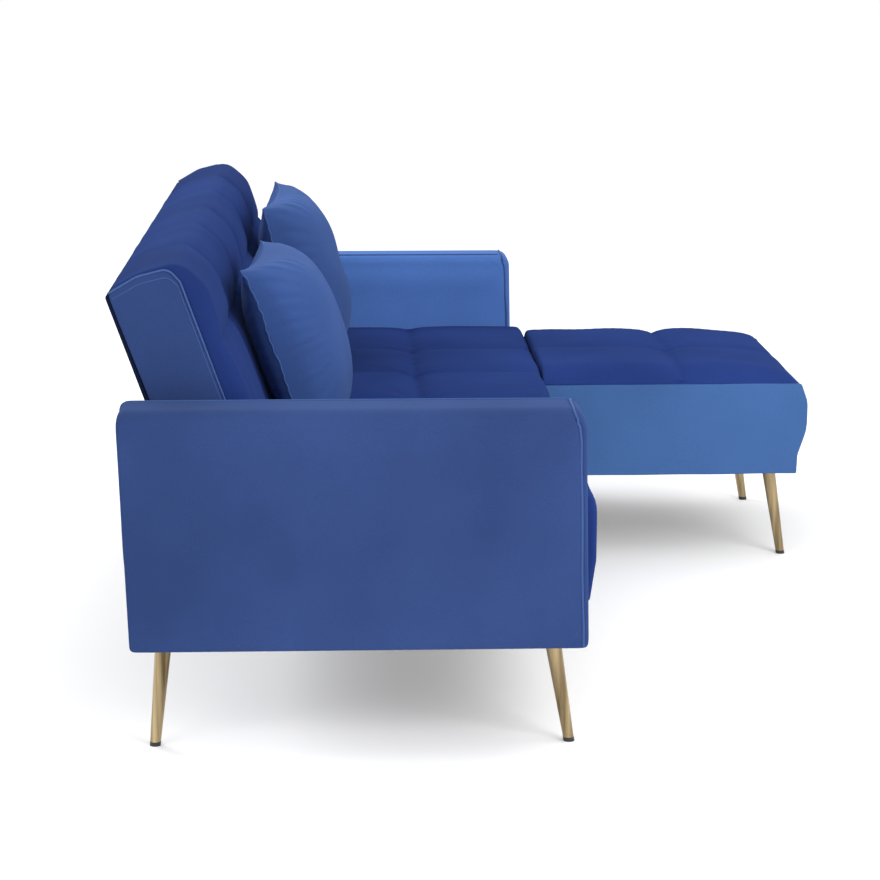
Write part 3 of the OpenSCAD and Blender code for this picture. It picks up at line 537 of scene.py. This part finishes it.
# %% [markdown]
# ## Arms
# An arm is a slab with a raked front and back and rounded top corners. The cloth of its outer face
# rolls over the top as far as the inner edge, where a piping closes it. The front is a separate strip
# between two pipings that run up beside it and over the top corner. The slab is extruded from its
# side view, its long top edges are rolled over, and its faces are blown up while the seams are held.

# %% Arm shape
arm_rake_front = 0.008
arm_rake_rear = 0.014
arm_corner = 0.024
piping_inset = 0.0105
# Each long top edge is rounded over this width, down by this depth, and the padding lifts the top
outer_roll = (0.034, 0.020)
inner_roll = (0.014, 0.006)
roll_height = 0.060
top_lift = 0.0045


def arm_outline(side, inset):
    """An arm's side view, drawn in from its edge."""
    low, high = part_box("arm_cover_" + side)
    front = low.y + inset
    back = high.y - arm_rake_rear - inset
    radius = max(arm_corner - inset, 0.004)
    return rounded([
        (front, low.z + inset, 0.003),
        (back, low.z + inset, 0.003),
        (back + arm_rake_rear, high.z - inset, max(radius / 2, 0.004)),
        (front + arm_rake_front, high.z - inset, radius),
    ])


def rolled_top(rows, low, high, outward):
    """Rounds the long top edges of a slab, widely over its outer face and a little at its inner one."""
    outer, inner = (high.x, low.x) if outward > 0 else (low.x, high.x)
    near_top = np.clip((rows[:, 2] - high.z + roll_height) / roll_height, 0, 1) ** 0.8
    for face_x, (width, depth) in ((outer, outer_roll), (inner, inner_roll)):
        share = np.clip(1 - np.abs(rows[:, 0] - face_x) / width, 0, 1)
        rows[:, 2] -= depth * (1 - np.sqrt(1 - share**2)) * near_top
    rows[:, 2] += top_lift * near_top
    return rows


def make_arm(side, outward, material):
    """One padded arm."""
    low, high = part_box("arm_cover_" + side)
    arm = extruded("arm_" + side, arm_outline(side, 0.001), low.x + 0.001, high.x, 0.008, 4)
    remesh(arm, 0.009, 2)
    seam = arm_outline(side, piping_inset)
    rows = points(arm)
    off_seam = distance_to_outline(rows[:, 1], rows[:, 2], seam)
    flat_face = np.abs(normals(arm)[:, 0]) > 0.5
    inflate(arm, 0.003, (off_seam < 0.016) | ~flat_face)
    smooth(arm, material)
    rows = rolled_top(points(arm), low, high, outward)
    put(arm, rows)
    facing = normals(arm)
    off_seam = distance_to_outline(rows[:, 1], rows[:, 2], seam)
    within = inside_outline(rows[:, 1], rows[:, 2], seam)
    face = np.clip((np.abs(facing[:, 0]) - 0.5) / 0.4, 0, 1)
    below_top = high.z - rows[:, 2]
    from_front = rows[:, 1] - low.y
    lift = np.where(within, 0.0012 * waves(rows, 0.33, 5), 0)
    lift += 0.0035 * bump_at(below_top - 0.055, 0.030) * np.clip(from_front / 0.03 - 0.3, 0, 1)
    lift -= 0.0026 * bump_at(off_seam, 0.0035) * (from_front < 0.030)
    ripple = waves(rows * np.array((1, 1, 0.25)), 0.035, 9)
    lift += 0.0005 * ripple * np.exp(-from_front / 0.040) * within
    corner_y = from_front - 0.030
    corner_z = below_top - 0.024
    lift += 0.0011 * spokes(corner_y, corner_z, 9, 0.022, 12) * within
    put(arm, rows + facing * (lift * face)[:, None])
    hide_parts("arm_cover_" + side)
    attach(arm, "sofa")
    return arm


# %% Arm piping
def cord(name, line, radius, closed, material, body, wander=0.0, seed=1):
    """A thin sewn cord through 3-D points."""
    curve = bpy.data.curves.new(name, "CURVE")
    curve.dimensions = "3D"
    spline = curve.splines.new("POLY")
    spline.points.add(len(line) - 1)
    spline.use_cyclic_u = closed
    places = np.array(line)
    if wander:
        places = places + wander * waves(places, 0.012, seed)[:, None] * np.array((0.3, 1.0, 0.3))
    for point, place in zip(spline.points, places):
        point.co = (*place, 1)
    curve.bevel_depth = radius
    curve.bevel_resolution = 2
    piece = bpy.data.objects.new(name, curve)
    bpy.context.collection.objects.link(piece)
    select_only(piece)
    bpy.ops.object.convert(target="MESH")
    piece = bpy.context.object
    smooth(piece, material, 0)
    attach(piece, body)
    return piece


def snapped(piece, keys, steps, lift):
    """Follows a line over a piece's surface, a little above it."""
    line = []
    for start, end in zip(keys, keys[1:]):
        for k in range(steps):
            point = Vector(start).lerp(Vector(end), k / steps)
            _, place, normal, _ = piece.closest_point_on_mesh(point)
            line.append(tuple(place + normal * lift))
    return line


def make_piping(side, outward, arm):
    """The pipings of an arm: around its front strip, and along the inner edge of its top."""
    low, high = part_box("arm_cover_" + side)
    outer, inner = (high.x, low.x) if outward > 0 else (low.x, high.x)
    inward = -outward
    seam_y = low.y + piping_inset
    shoulder_y = seam_y + arm_rake_front
    # Up beside the front strip and over the corner: (distance inward, y, z)
    half_line = [
        (0.0, seam_y, low.z + 0.004), (0.0, shoulder_y - 0.001, high.z - 0.050),
        (0.0, shoulder_y + 0.001, high.z - 0.028), (0.0, shoulder_y + 0.005, high.z - 0.012),
        (0.006, shoulder_y + 0.008, high.z - 0.002), (0.018, shoulder_y + 0.010, high.z + 0.004),
    ]
    keys = [(outer + inward * x, y, z) for x, y, z in half_line]
    keys += [(inner - inward * x, y, z) for x, y, z in reversed(half_line)]
    strip = cord("arm_piping_front_" + side, snapped(arm, keys, 8, 0.0006), 0.0019, False,
                 velvet_piping_painted_highlight, "sofa")
    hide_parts("arm_piping_" + side)
    edge_x = inner - inward * 0.011
    keys = [
        (edge_x, shoulder_y + 0.016, high.z + 0.004), (edge_x, high.y - 0.034, high.z + 0.004),
        (edge_x, high.y - 0.008, high.z - 0.008), (edge_x, high.y, high.z - 0.040),
        (edge_x, high.y - arm_rake_rear, low.z + 0.010),
    ]
    cord("arm_piping_top_" + side, snapped(arm, keys, 16, 0.0006), 0.0017, False,
         velvet_piping_painted_highlight, "sofa")


# The right arm takes the paler copy of the velvet: painted light on its inner face
for side, outward, material in (("left", -1, velvet_panel), ("right", 1, velvet_painted_lit)):
    arm = make_arm(side, outward, material)
    make_piping(side, outward, arm)
    print("arm", side, len(arm.data.polygons), "faces")

# %% [markdown]
# ## Seat
# The seat is one long pad that wraps over the front rail in a bulge and tucks in above a covered
# strip. Seams cross it in both directions and draw it down, two tufts deep and six tufts wide. Only
# the middles of the tufts are free in the simulation: the seams and the outer edges are held.

# %% Seat pad
tuft_pitch = 0.2933
pad_depth = 0.071
seat_low, seat_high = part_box("seat_pad")
seat_columns = [tuft_pitch * k for k in range(-2, 3)]
seat_rows = [seat_low.y + 0.266]
strip_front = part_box("seat_front_strip")[0].y + 0.006


def held_points(u, v, u_lines, v_lines, facing_share, margin):
    """Marks every point that the simulation holds: all but the middles of the tufts."""
    seam = np.minimum(np.abs(nearest(u, u_lines)), np.abs(nearest(v, v_lines)))
    edge = np.minimum.reduce([u - u.min(), u.max() - u, v - v.min(), v.max() - v])
    return ~((facing_share > 0.7) & (seam > 0.014) & (edge > margin))


def end_puckers(along, lines, reach, away):
    """Small folds where seams run out at an edge."""
    gap = nearest(along, lines)
    folds = 0.004 * valley(gap, 0.012) + 0.0012 * np.cos(gap * 2 * math.pi / 0.020)
    return folds * np.exp(-away / reach)


seat_view = rounded([
    (seat_high.y, seat_high.z - pad_depth, 0.0), (seat_high.y, seat_high.z - 0.001, 0.012),
    (seat_low.y + 0.001, seat_high.z - 0.001, 0.018), (seat_low.y + 0.001, 0.296, 0.045),
    (seat_low.y + 0.012, seat_low.z, 0.008), (strip_front, seat_low.z, 0.0),
    (strip_front, seat_high.z - pad_depth, 0.0),
])
seat_overlap = 0.003
seat = extruded("seat_cushion", seat_view, seat_low.x - seat_overlap, seat_high.x + seat_overlap,
                0.006, 3)
remesh(seat, 0.011, 2)
rows = points(seat)
upward = normals(seat)[:, 2]
inflate(seat, 0.006, held_points(rows[:, 0], rows[:, 1], seat_columns, seat_rows, upward, 0.035))
smooth(seat, velvet_pad_painted_shade)
rows = points(seat)
facing = normals(seat)
sink = tufting(rows[:, 0], rows[:, 1], seat_columns, seat_rows, 0.0035, 0.0080, 11)
sink += end_puckers(rows[:, 0], seat_columns, 0.040, rows[:, 1] - seat_low.y)
top_share = np.clip((facing[:, 2] - 0.15) / 0.6, 0, 1)
front_share = np.clip((-facing[:, 1] - 0.3) / 0.5, 0, 1)
front_sink = 0.0035 * valley(nearest(rows[:, 0], seat_columns), 0.014) + 0.0009 * waves(rows, 0.15, 3)
lift = 0.0010 * waves(rows, 0.20, 2) - sink
put(seat, rows + facing * (lift * top_share - front_sink * front_share)[:, None])
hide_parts("seat_pad")
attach(seat, "sofa")
print("seat", len(seat.data.polygons), "faces")

# %% [markdown]
# ## Ottoman
# The ottoman carries the seat's tufting on in front of it. Its top is one pad with the same bulge at
# the front, and flat velvet panels close its sides up to a straight seam just under the top. Above
# that seam the pad rolls over in a small soft edge. The panels are boards with thin padding.

# %% Ottoman pad
ottoman_low, ottoman_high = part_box("ottoman_pad")
ottoman_mid_x = (ottoman_low.x + ottoman_high.x) / 2
ottoman_rows = [ottoman_high.y - 0.2905]
ottoman_columns = [ottoman_mid_x]
cover_low, cover_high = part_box("ottoman_side_cover")
panel_seam = cover_high.z
front = ottoman_low.y

ottoman_view = rounded([
    (ottoman_high.y, panel_seam - 0.037, 0.0), (ottoman_high.y, ottoman_high.z, 0.006),
    (front + 0.155, ottoman_high.z, 0.300), (front + 0.028, ottoman_high.z - 0.014, 0.050),
    (front - 0.004, panel_seam - 0.024, 0.060), (front - 0.004, 0.280, 0.120),
    (front + 0.018, ottoman_low.z, 0.006), (front + 0.030, ottoman_low.z, 0.0),
    (front + 0.030, panel_seam - 0.037, 0.0),
])
ottoman = extruded("ottoman_cushion", ottoman_view, ottoman_low.x + 0.001, ottoman_high.x - 0.001)
remesh(ottoman, 0.008, 2)
rows = points(ottoman)
upward = normals(ottoman)[:, 2]
inflate(ottoman, 0.006,
        held_points(rows[:, 0], rows[:, 1], ottoman_columns, ottoman_rows, upward, 0.040))
smooth(ottoman, velvet_pad_painted_shade)
rows = points(ottoman)
facing = normals(ottoman)
sink = tufting(rows[:, 0], rows[:, 1], ottoman_columns, ottoman_rows, 0.0035, 0.0080, 23)
edge_x = np.minimum(rows[:, 0] - ottoman_low.x, ottoman_high.x - rows[:, 0])
sink += 0.5 * end_puckers(rows[:, 1], ottoman_rows, 0.045, edge_x)
top_share = np.clip((facing[:, 2] - 0.15) / 0.6, 0, 1)
lift = 0.0010 * waves(rows, 0.20, 4) - sink
rows = rows + facing * (lift * top_share)[:, None]
share = np.clip(edge_x / 0.075, 0, 1)
roll = 0.06 + 0.94 * (1 - (1 - share) ** 2.2)
above = rows[:, 2] > panel_seam
rows[above, 2] = panel_seam + (rows[above, 2] - panel_seam) * roll[above]
below = ~above & (edge_x < 0.0055)
rows[below, 0] += np.sign(ottoman_mid_x - rows[below, 0]) * 0.0055
put(ottoman, rows)
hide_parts("ottoman_pad")
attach(ottoman, "ottoman")
print("ottoman pad", len(ottoman.data.polygons), "faces")

# %% Ottoman panels


def make_panel(name, outline, x0, x1, edge, body, material, seed, node=None, voxel=0.006):
    """A thin padded board from its side view, with soft edges and a little play in its cloth."""
    panel = extruded(name, outline, x0, x1, edge, 3)
    remesh(panel, voxel, 1)
    smooth(panel, material, levels=0)
    rows = points(panel)
    facing = normals(panel)
    put(panel, rows + facing * (0.0006 * waves(rows, 0.22, seed))[:, None])
    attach(panel, body)
    if node:
        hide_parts(node)
    return panel


side_view = rounded([
    (cover_high.y, cover_low.z, 0.004), (cover_high.y, panel_seam, 0.003),
    (front + 0.009, panel_seam, 0.008), (front - 0.0055, panel_seam - 0.040, 0.060),
    (front - 0.0055, 0.278, 0.110), (front + 0.013, 0.222, 0.030), (front + 0.014, cover_low.z, 0.003),
])
make_panel("ottoman_panel_near", side_view, cover_low.x - 0.001, cover_low.x + 0.006, 0.0022,
           "ottoman", velvet_side_painted_lit, 31, "ottoman_side_cover", 0.0032)
make_panel("ottoman_panel_far", side_view, cover_high.x - 0.006, cover_high.x + 0.001, 0.0022,
           "ottoman", velvet_side_painted_lit, 32, None, 0.003)
rear_view = rounded([
    (cover_high.y - 0.006, cover_low.z, 0.002), (cover_high.y, cover_low.z, 0.002),
    (cover_high.y, panel_seam, 0.002), (cover_high.y - 0.006, panel_seam, 0.002),
])
make_panel("ottoman_panel_rear", rear_view, cover_low.x + 0.005, cover_high.x - 0.005, 0.0,
           "ottoman", velvet_side_painted_lit, 33, None, 0.004)
strip_view = rounded([
    (front + 0.0165, cover_low.z, 0.003), (front + 0.024, cover_low.z, 0.003),
    (front + 0.024, cover_low.z + 0.052, 0.003), (front + 0.0165, cover_low.z + 0.052, 0.003),
])
make_panel("ottoman_strip", strip_view, cover_low.x + 0.005, cover_high.x - 0.005, 0.0,
           "ottoman", velvet_side_painted_lit, 34, None, 0.004)
print("ottoman panels: 4")

# %% [markdown]
# ## Backrest
# The cloth of the backrest runs in one piece from its foot, up its front, over a full round top and
# to its rear edge. Its ends are closed by boxed panels with two rows of topstitching. It is modelled
# upright in its own frame, with its hinge at the origin, and then leaned back to where the hinge
# holds it. The front is tufted like the seat, and the column seams run on over the top as faint arcs.

# %% Backrest frame
recline = next(j for j in frame["joints"] if j["name"] == "backrest_recline")
pivot = Vector(recline["pos_m"])
lean = math.radians(90 - recline["range_deg"][1])
lean_back = Matrix.Translation(pivot) @ Matrix.Rotation(-lean, 4, "X")


def lean_it(piece):
    """Moves a piece from the backrest's upright frame to its place."""
    piece.data.transform(lean_back)
    piece.data.update()


def upright(node):
    """A CAD node's box in the backrest's upright frame."""
    undo = lean_back.inverted()
    seen = np.array([undo @ v.co for v in frame["nodes"][node].data.vertices])
    return seen.min(axis=0), seen.max(axis=0)


def cut_block(piece, low, high):
    """Cuts a block out of a piece."""
    bpy.ops.object.select_all(action="DESELECT")
    centre = [(a + b) / 2 for a, b in zip(low, high)]
    bpy.ops.mesh.primitive_cube_add(size=1, location=centre, scale=[b - a for a, b in zip(low, high)])
    tool = bpy.context.object
    select_only(piece)
    modifier = piece.modifiers.new("notch", "BOOLEAN")
    modifier.object = tool
    modifier.solver = "EXACT"
    bpy.ops.object.modifier_apply(modifier="notch")
    bpy.data.objects.remove(tool)


pad_min, pad_max = upright("backrest_pad")
box_min, box_max = upright("backrest_cover")
print("lean", round(math.degrees(lean), 1), "degrees")
print("pad from", pad_min.round(3), "to", pad_max.round(3))

# %% Backrest cushion
rear_wall = 0.007
foot_radius = -float(pad_min[1])
back_seam = -0.009
hinge_notch_x = 0.8264
hinge_notch_z = 0.030
foot_angle = math.acos(-back_seam / foot_radius)
foot_arc = [
    np.array((foot_radius * math.cos(math.pi + foot_angle * k / 8),
              foot_radius * math.sin(math.pi + foot_angle * k / 8)))
    for k in range(1, 9)
]
back_top = float(box_max[2])
back_rear = float(box_max[1])
back_view = rounded([
    (back_rear - rear_wall, float(box_min[2]), 0.004), (back_rear - rear_wall, back_top - 0.005, 0.005),
    (0.052, back_top + 0.005, 0.070), (-0.020, back_top - 0.001, 0.040),
    (-0.050, back_top - 0.055, 0.070), (-0.049, 0.200, 0.300), (-0.0445, 0.010, 0.020),
]) + foot_arc
back_columns = seat_columns
back_rows = [0.305]
end_x = float(pad_max[0])

cushion = extruded("backrest_cushion", back_view, 0.003 - end_x, end_x - 0.003, 0.014, 4)
remesh(cushion, 0.010, 2)
rows = points(cushion)
forward = -normals(cushion)[:, 1]
held = held_points(rows[:, 0], rows[:, 2], back_columns, back_rows, forward, 0.040)
inflate(cushion, 0.006, held)
smooth(cushion, velvet_back_painted_shade)
rows = points(cushion)
facing = normals(cushion)
sink = tufting(rows[:, 0], rows[:, 2], back_columns, back_rows, 0.0035, 0.0075, 47)
front_share = np.clip((-facing[:, 1] - 0.3) / 0.5, 0, 1) * np.clip((rows[:, 2] - 0.03) / 0.06, 0, 1)
arcs = 0.0011 * valley(nearest(rows[:, 0], back_columns), 0.022) * np.clip(facing[:, 2], 0, 1)
lift = 0.0012 * waves(rows, 0.24, 6) - sink * front_share - arcs
put(cushion, rows + facing * lift[:, None])
for end in (-1, 1):
    low_x, high_x = sorted((end * hinge_notch_x, end * 1.0))
    cut_block(cushion, (low_x, -0.2, -0.2), (high_x, 0.2, hinge_notch_z))
lean_it(cushion)
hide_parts("backrest_pad")
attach(cushion, "backrest")
print("backrest cushion", len(cushion.data.polygons), "faces")

# %% Backrest end panels
end_corners = [
    (-0.011, hinge_notch_z + 0.001, 0.0), (back_rear - rear_wall, hinge_notch_z + 0.001, 0.0),
    (back_rear - rear_wall, back_top - 0.009, 0.010), (0.050, back_top + 0.001, 0.060),
    (0.000, back_top - 0.004, 0.020), (-0.011, back_top - 0.030, 0.020),
]
stitch_corners = [
    (back_rear - rear_wall - 0.004, back_top - 0.020, 0.0), (0.050, back_top - 0.011, 0.060),
    (0.004, back_top - 0.016, 0.018), (-0.006, back_top - 0.034, 0.018), (-0.006, hinge_notch_z, 0.0),
]
edge_corners = [
    (back_rear - rear_wall, back_top - 0.009, 0.0), (0.050, back_top + 0.001, 0.060),
    (-0.001, back_top - 0.004, 0.020), (-0.012, back_top - 0.030, 0.020), (-0.0125, hinge_notch_z, 0.0),
]
for name, end in (("left", -1), ("right", 1)):
    inner, outer = sorted((end * (end_x - 0.006), end * (end_x + 0.0005)))
    panel = extruded("backrest_end_" + name, rounded(end_corners), inner, outer, 0.0015, 2)
    remesh(panel, 0.0035, 1)
    smooth(panel, velvet_panel)
    rows = points(panel)
    put(panel, rows + normals(panel) * (0.0006 * waves(rows, 0.2, 21 + end))[:, None])
    lean_it(panel)
    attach(panel, "backrest")
    if end < 0:
        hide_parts("backrest_cover")
    for row, corners, radius in (("edge", edge_corners, 0.0016), ("stitch", stitch_corners, 0.0008)):
        line = [(end * (end_x + 0.0006), y, z) for y, z in rounded(corners, 10)]
        stitch = cord(f"backrest_{row}_{name}", line, radius, False, velvet_piping_painted_highlight, "backrest")
        lean_it(stitch)
print("backrest end panels: 2")

# %% Backrest rear panel
# The rear panel is a dark strip of painted shade along the backrest's rear edge
rear_view = rounded([
    (back_rear - rear_wall, float(box_min[2]), 0.0), (back_rear, float(box_min[2]) + 0.003, 0.004),
    (back_rear, back_top - 0.013, 0.005), (back_rear - rear_wall, back_top - 0.009, 0.0),
])
back_panel = extruded("backrest_rear", rear_view, 0.001 - end_x, end_x - 0.001, 0.002, 2)
for end in (-1, 1):
    low_x, high_x = sorted((end * hinge_notch_x, end * 1.0))
    cut_block(back_panel, (low_x, -0.2, -0.2), (high_x, 0.2, hinge_notch_z))
remesh(back_panel, 0.005, 1)
smooth(back_panel, velvet_rear_painted_shade, levels=0)
lean_it(back_panel)
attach(back_panel, "backrest")
print("backrest rear", len(back_panel.data.polygons), "faces")

# %% [markdown]
# ## Pillows
# A knife-edge pillow is two squares sewn together and stuffed. The seam is shorter than the cloth it
# gathers, so the edge puckers and the corners stay as points. The pillow is modelled as a thin square
# that swells to its middle, more to the front than to the side that rests on the backrest. A short
# cloth simulation loosens it while its seam is held, and a gathered cord is laid along the seam. The
# two top corners then sink and lean forward. A coarse copy, drawn in to the middle, is the filling.

# %% Pillow shape
pillow_seam_y = -0.090
side_pinch = 0.050
fill_share = 0.93


def pinched(across, up, width, height):
    """Where a point of a flat square pillow lands when its sides are drawn in between the corners."""
    x = across * width / 2 * (1 - side_pinch * (1 - up**2) * np.abs(across) ** 3)
    z = up * height / 2 * (1 - side_pinch * (1 - across**2) * np.abs(up) ** 3)
    return x, z


def seam_bend(across, up):
    """How far a pillow's seam plane bends back at its top corners and forward between them."""
    corner = np.clip(up, 0, 1) ** 4
    return corner * (0.016 * np.abs(across) ** 3 - 0.004)


def slump(rows, across, up, corners):
    """Lets a pillow's two top corners sink and lean forward by the (forward, down) of each corner."""
    right = (across + 1) / 2
    forward, down = [corners[0][i] * (1 - right) + corners[1][i] * right for i in (0, 1)]
    weight = np.clip(up, 0, 1) ** 2
    rows[:, 1] -= forward * weight
    rows[:, 2] -= down * weight
    return rows


def make_pillow(side, seed, corners):
    """One stuffed pillow that leans on the backrest."""
    low, high = upright("pillow_" + side)
    middle = (low + high) / 2
    width, _, height = high - low
    front_swell = pillow_seam_y - float(low[1])
    rear_swell = float(high[1]) - pillow_seam_y - 0.001
    bpy.ops.object.select_all(action="DESELECT")
    bpy.ops.mesh.primitive_cube_add(size=2)
    pillow = bpy.context.object
    pillow.name = "pillow_" + side + "_cover"
    bpy.ops.object.mode_set(mode="EDIT")
    bpy.ops.mesh.select_all(action="SELECT")
    bpy.ops.mesh.subdivide(number_cuts=50)
    bpy.ops.object.mode_set(mode="OBJECT")
    rows = points(pillow)
    across, flat, up = rows[:, 0], rows[:, 1], rows[:, 2]
    edge = np.maximum(np.abs(across), np.abs(up))
    dome = np.sqrt((1 - np.abs(across) ** 2.2) * (1 - np.abs(up) ** 2.2))
    swell = np.where(flat < 0, -front_swell, rear_swell) * np.abs(flat)
    around = np.arctan2(up, across)
    gather = np.sin(around * 46 + 2.5 * np.sin(3 * around + seed)) + 0.7 * np.sin(around * 75 + seed)
    close = np.clip((edge - 0.62) / 0.3, 0, 1) * np.clip((1.0 - edge) / 0.05, 0, 1)
    x, z = pinched(across, up, width, height)
    lumps = 0.030 * waves(np.stack([across, flat, up], axis=1), 0.9, seed)
    depth = dome * (1 + lumps * (1 - edge)) + 0.020 * gather * close
    y = 0.002 * flat + swell * depth + seam_bend(across, up)
    folds = np.sin(across * 9 + 1.6 * np.sin(up * 2 + seed)) * np.clip(1 - np.abs(across), 0, 1)
    y -= np.where(flat < 0, 0.0022 * folds * np.clip(1 - edge, 0, 1) ** 0.5, 0)
    put(pillow, np.stack([x, y, z], axis=1))
    inflate(pillow, 0.006, edge > 0.97, 2.5, 12)
    smooth(pillow, velvet_pillow)
    rows = points(pillow)
    rows += np.array((middle[0], pillow_seam_y, middle[2]))
    rows[:, 1] = np.clip(rows[:, 1], low[1] - 0.006, high[1])
    across = np.clip((rows[:, 0] - middle[0]) / width * 2, -1, 1)
    rows = slump(rows, across, (rows[:, 2] - middle[2]) / height * 2, corners)
    put(pillow, rows)
    fill = pillow.copy()
    fill.data = pillow.data.copy()
    fill.name = "pillow_" + side + "_fill"
    bpy.context.collection.objects.link(fill)
    apply(fill, "DECIMATE", ratio=0.05)
    centre = np.array((middle[0], pillow_seam_y, middle[2]))
    put(fill, centre + (points(fill) - centre) * fill_share)
    fill.data.materials.clear()
    fill.data.materials.append(pillow_fill)
    lean_it(fill)
    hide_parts("pillow_insert_" + side)
    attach(fill, "pillow_" + side)
    lean_it(pillow)
    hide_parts("pillow_" + side)
    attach(pillow, "pillow_" + side)

    steps = np.linspace(-1, 1, 90)[:-1]
    ones = np.ones(len(steps))
    around_across = np.concatenate([steps, ones, -steps, -ones])
    around_up = np.concatenate([-ones, steps, ones, -steps])
    x, z = pinched(around_across, around_up, width, height)
    y = pillow_seam_y + seam_bend(around_across, around_up)
    line = np.stack([x + middle[0], y, z + middle[2]], axis=1)
    line = slump(line, around_across, around_up, corners)
    seam = cord(f"pillow_{side}_seam", line, 0.0017, True, velvet_piping_painted_highlight, "pillow_" + side, 0.0011, seed)
    lean_it(seam)
    return pillow


pillow_corners = {
    "left": ((0.007, 0.029), (0.028, 0.034)),
    "right": ((0.024, 0.017), (0.043, 0.009)),
}
for side, seed in (("left", 3), ("right", 8)):
    pillow = make_pillow(side, seed, pillow_corners[side])
    print("pillow", side, len(pillow.data.polygons), "faces")

# %% [markdown]
# ## Covered strips
# Under the front bulge a narrow board is covered in the same velvet, from arm to arm. A second strip
# closes the rear rail behind the seat.

# %% Strips
for node, depth, seed in (("seat_front_strip", 0.006, 41), ("seat_rear_strip", 0.006, 42)):
    low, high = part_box(node)
    strip_view = rounded([
        (low.y, low.z, 0.002), (low.y + depth, low.z, 0.001), (low.y + depth, high.z, 0.001),
        (low.y, high.z, 0.002),
    ])
    make_panel(node + "_velvet", strip_view, low.x, high.x, 0.0, "sofa", velvet_panel, seed, node, 0.004)
print("strips: 2")
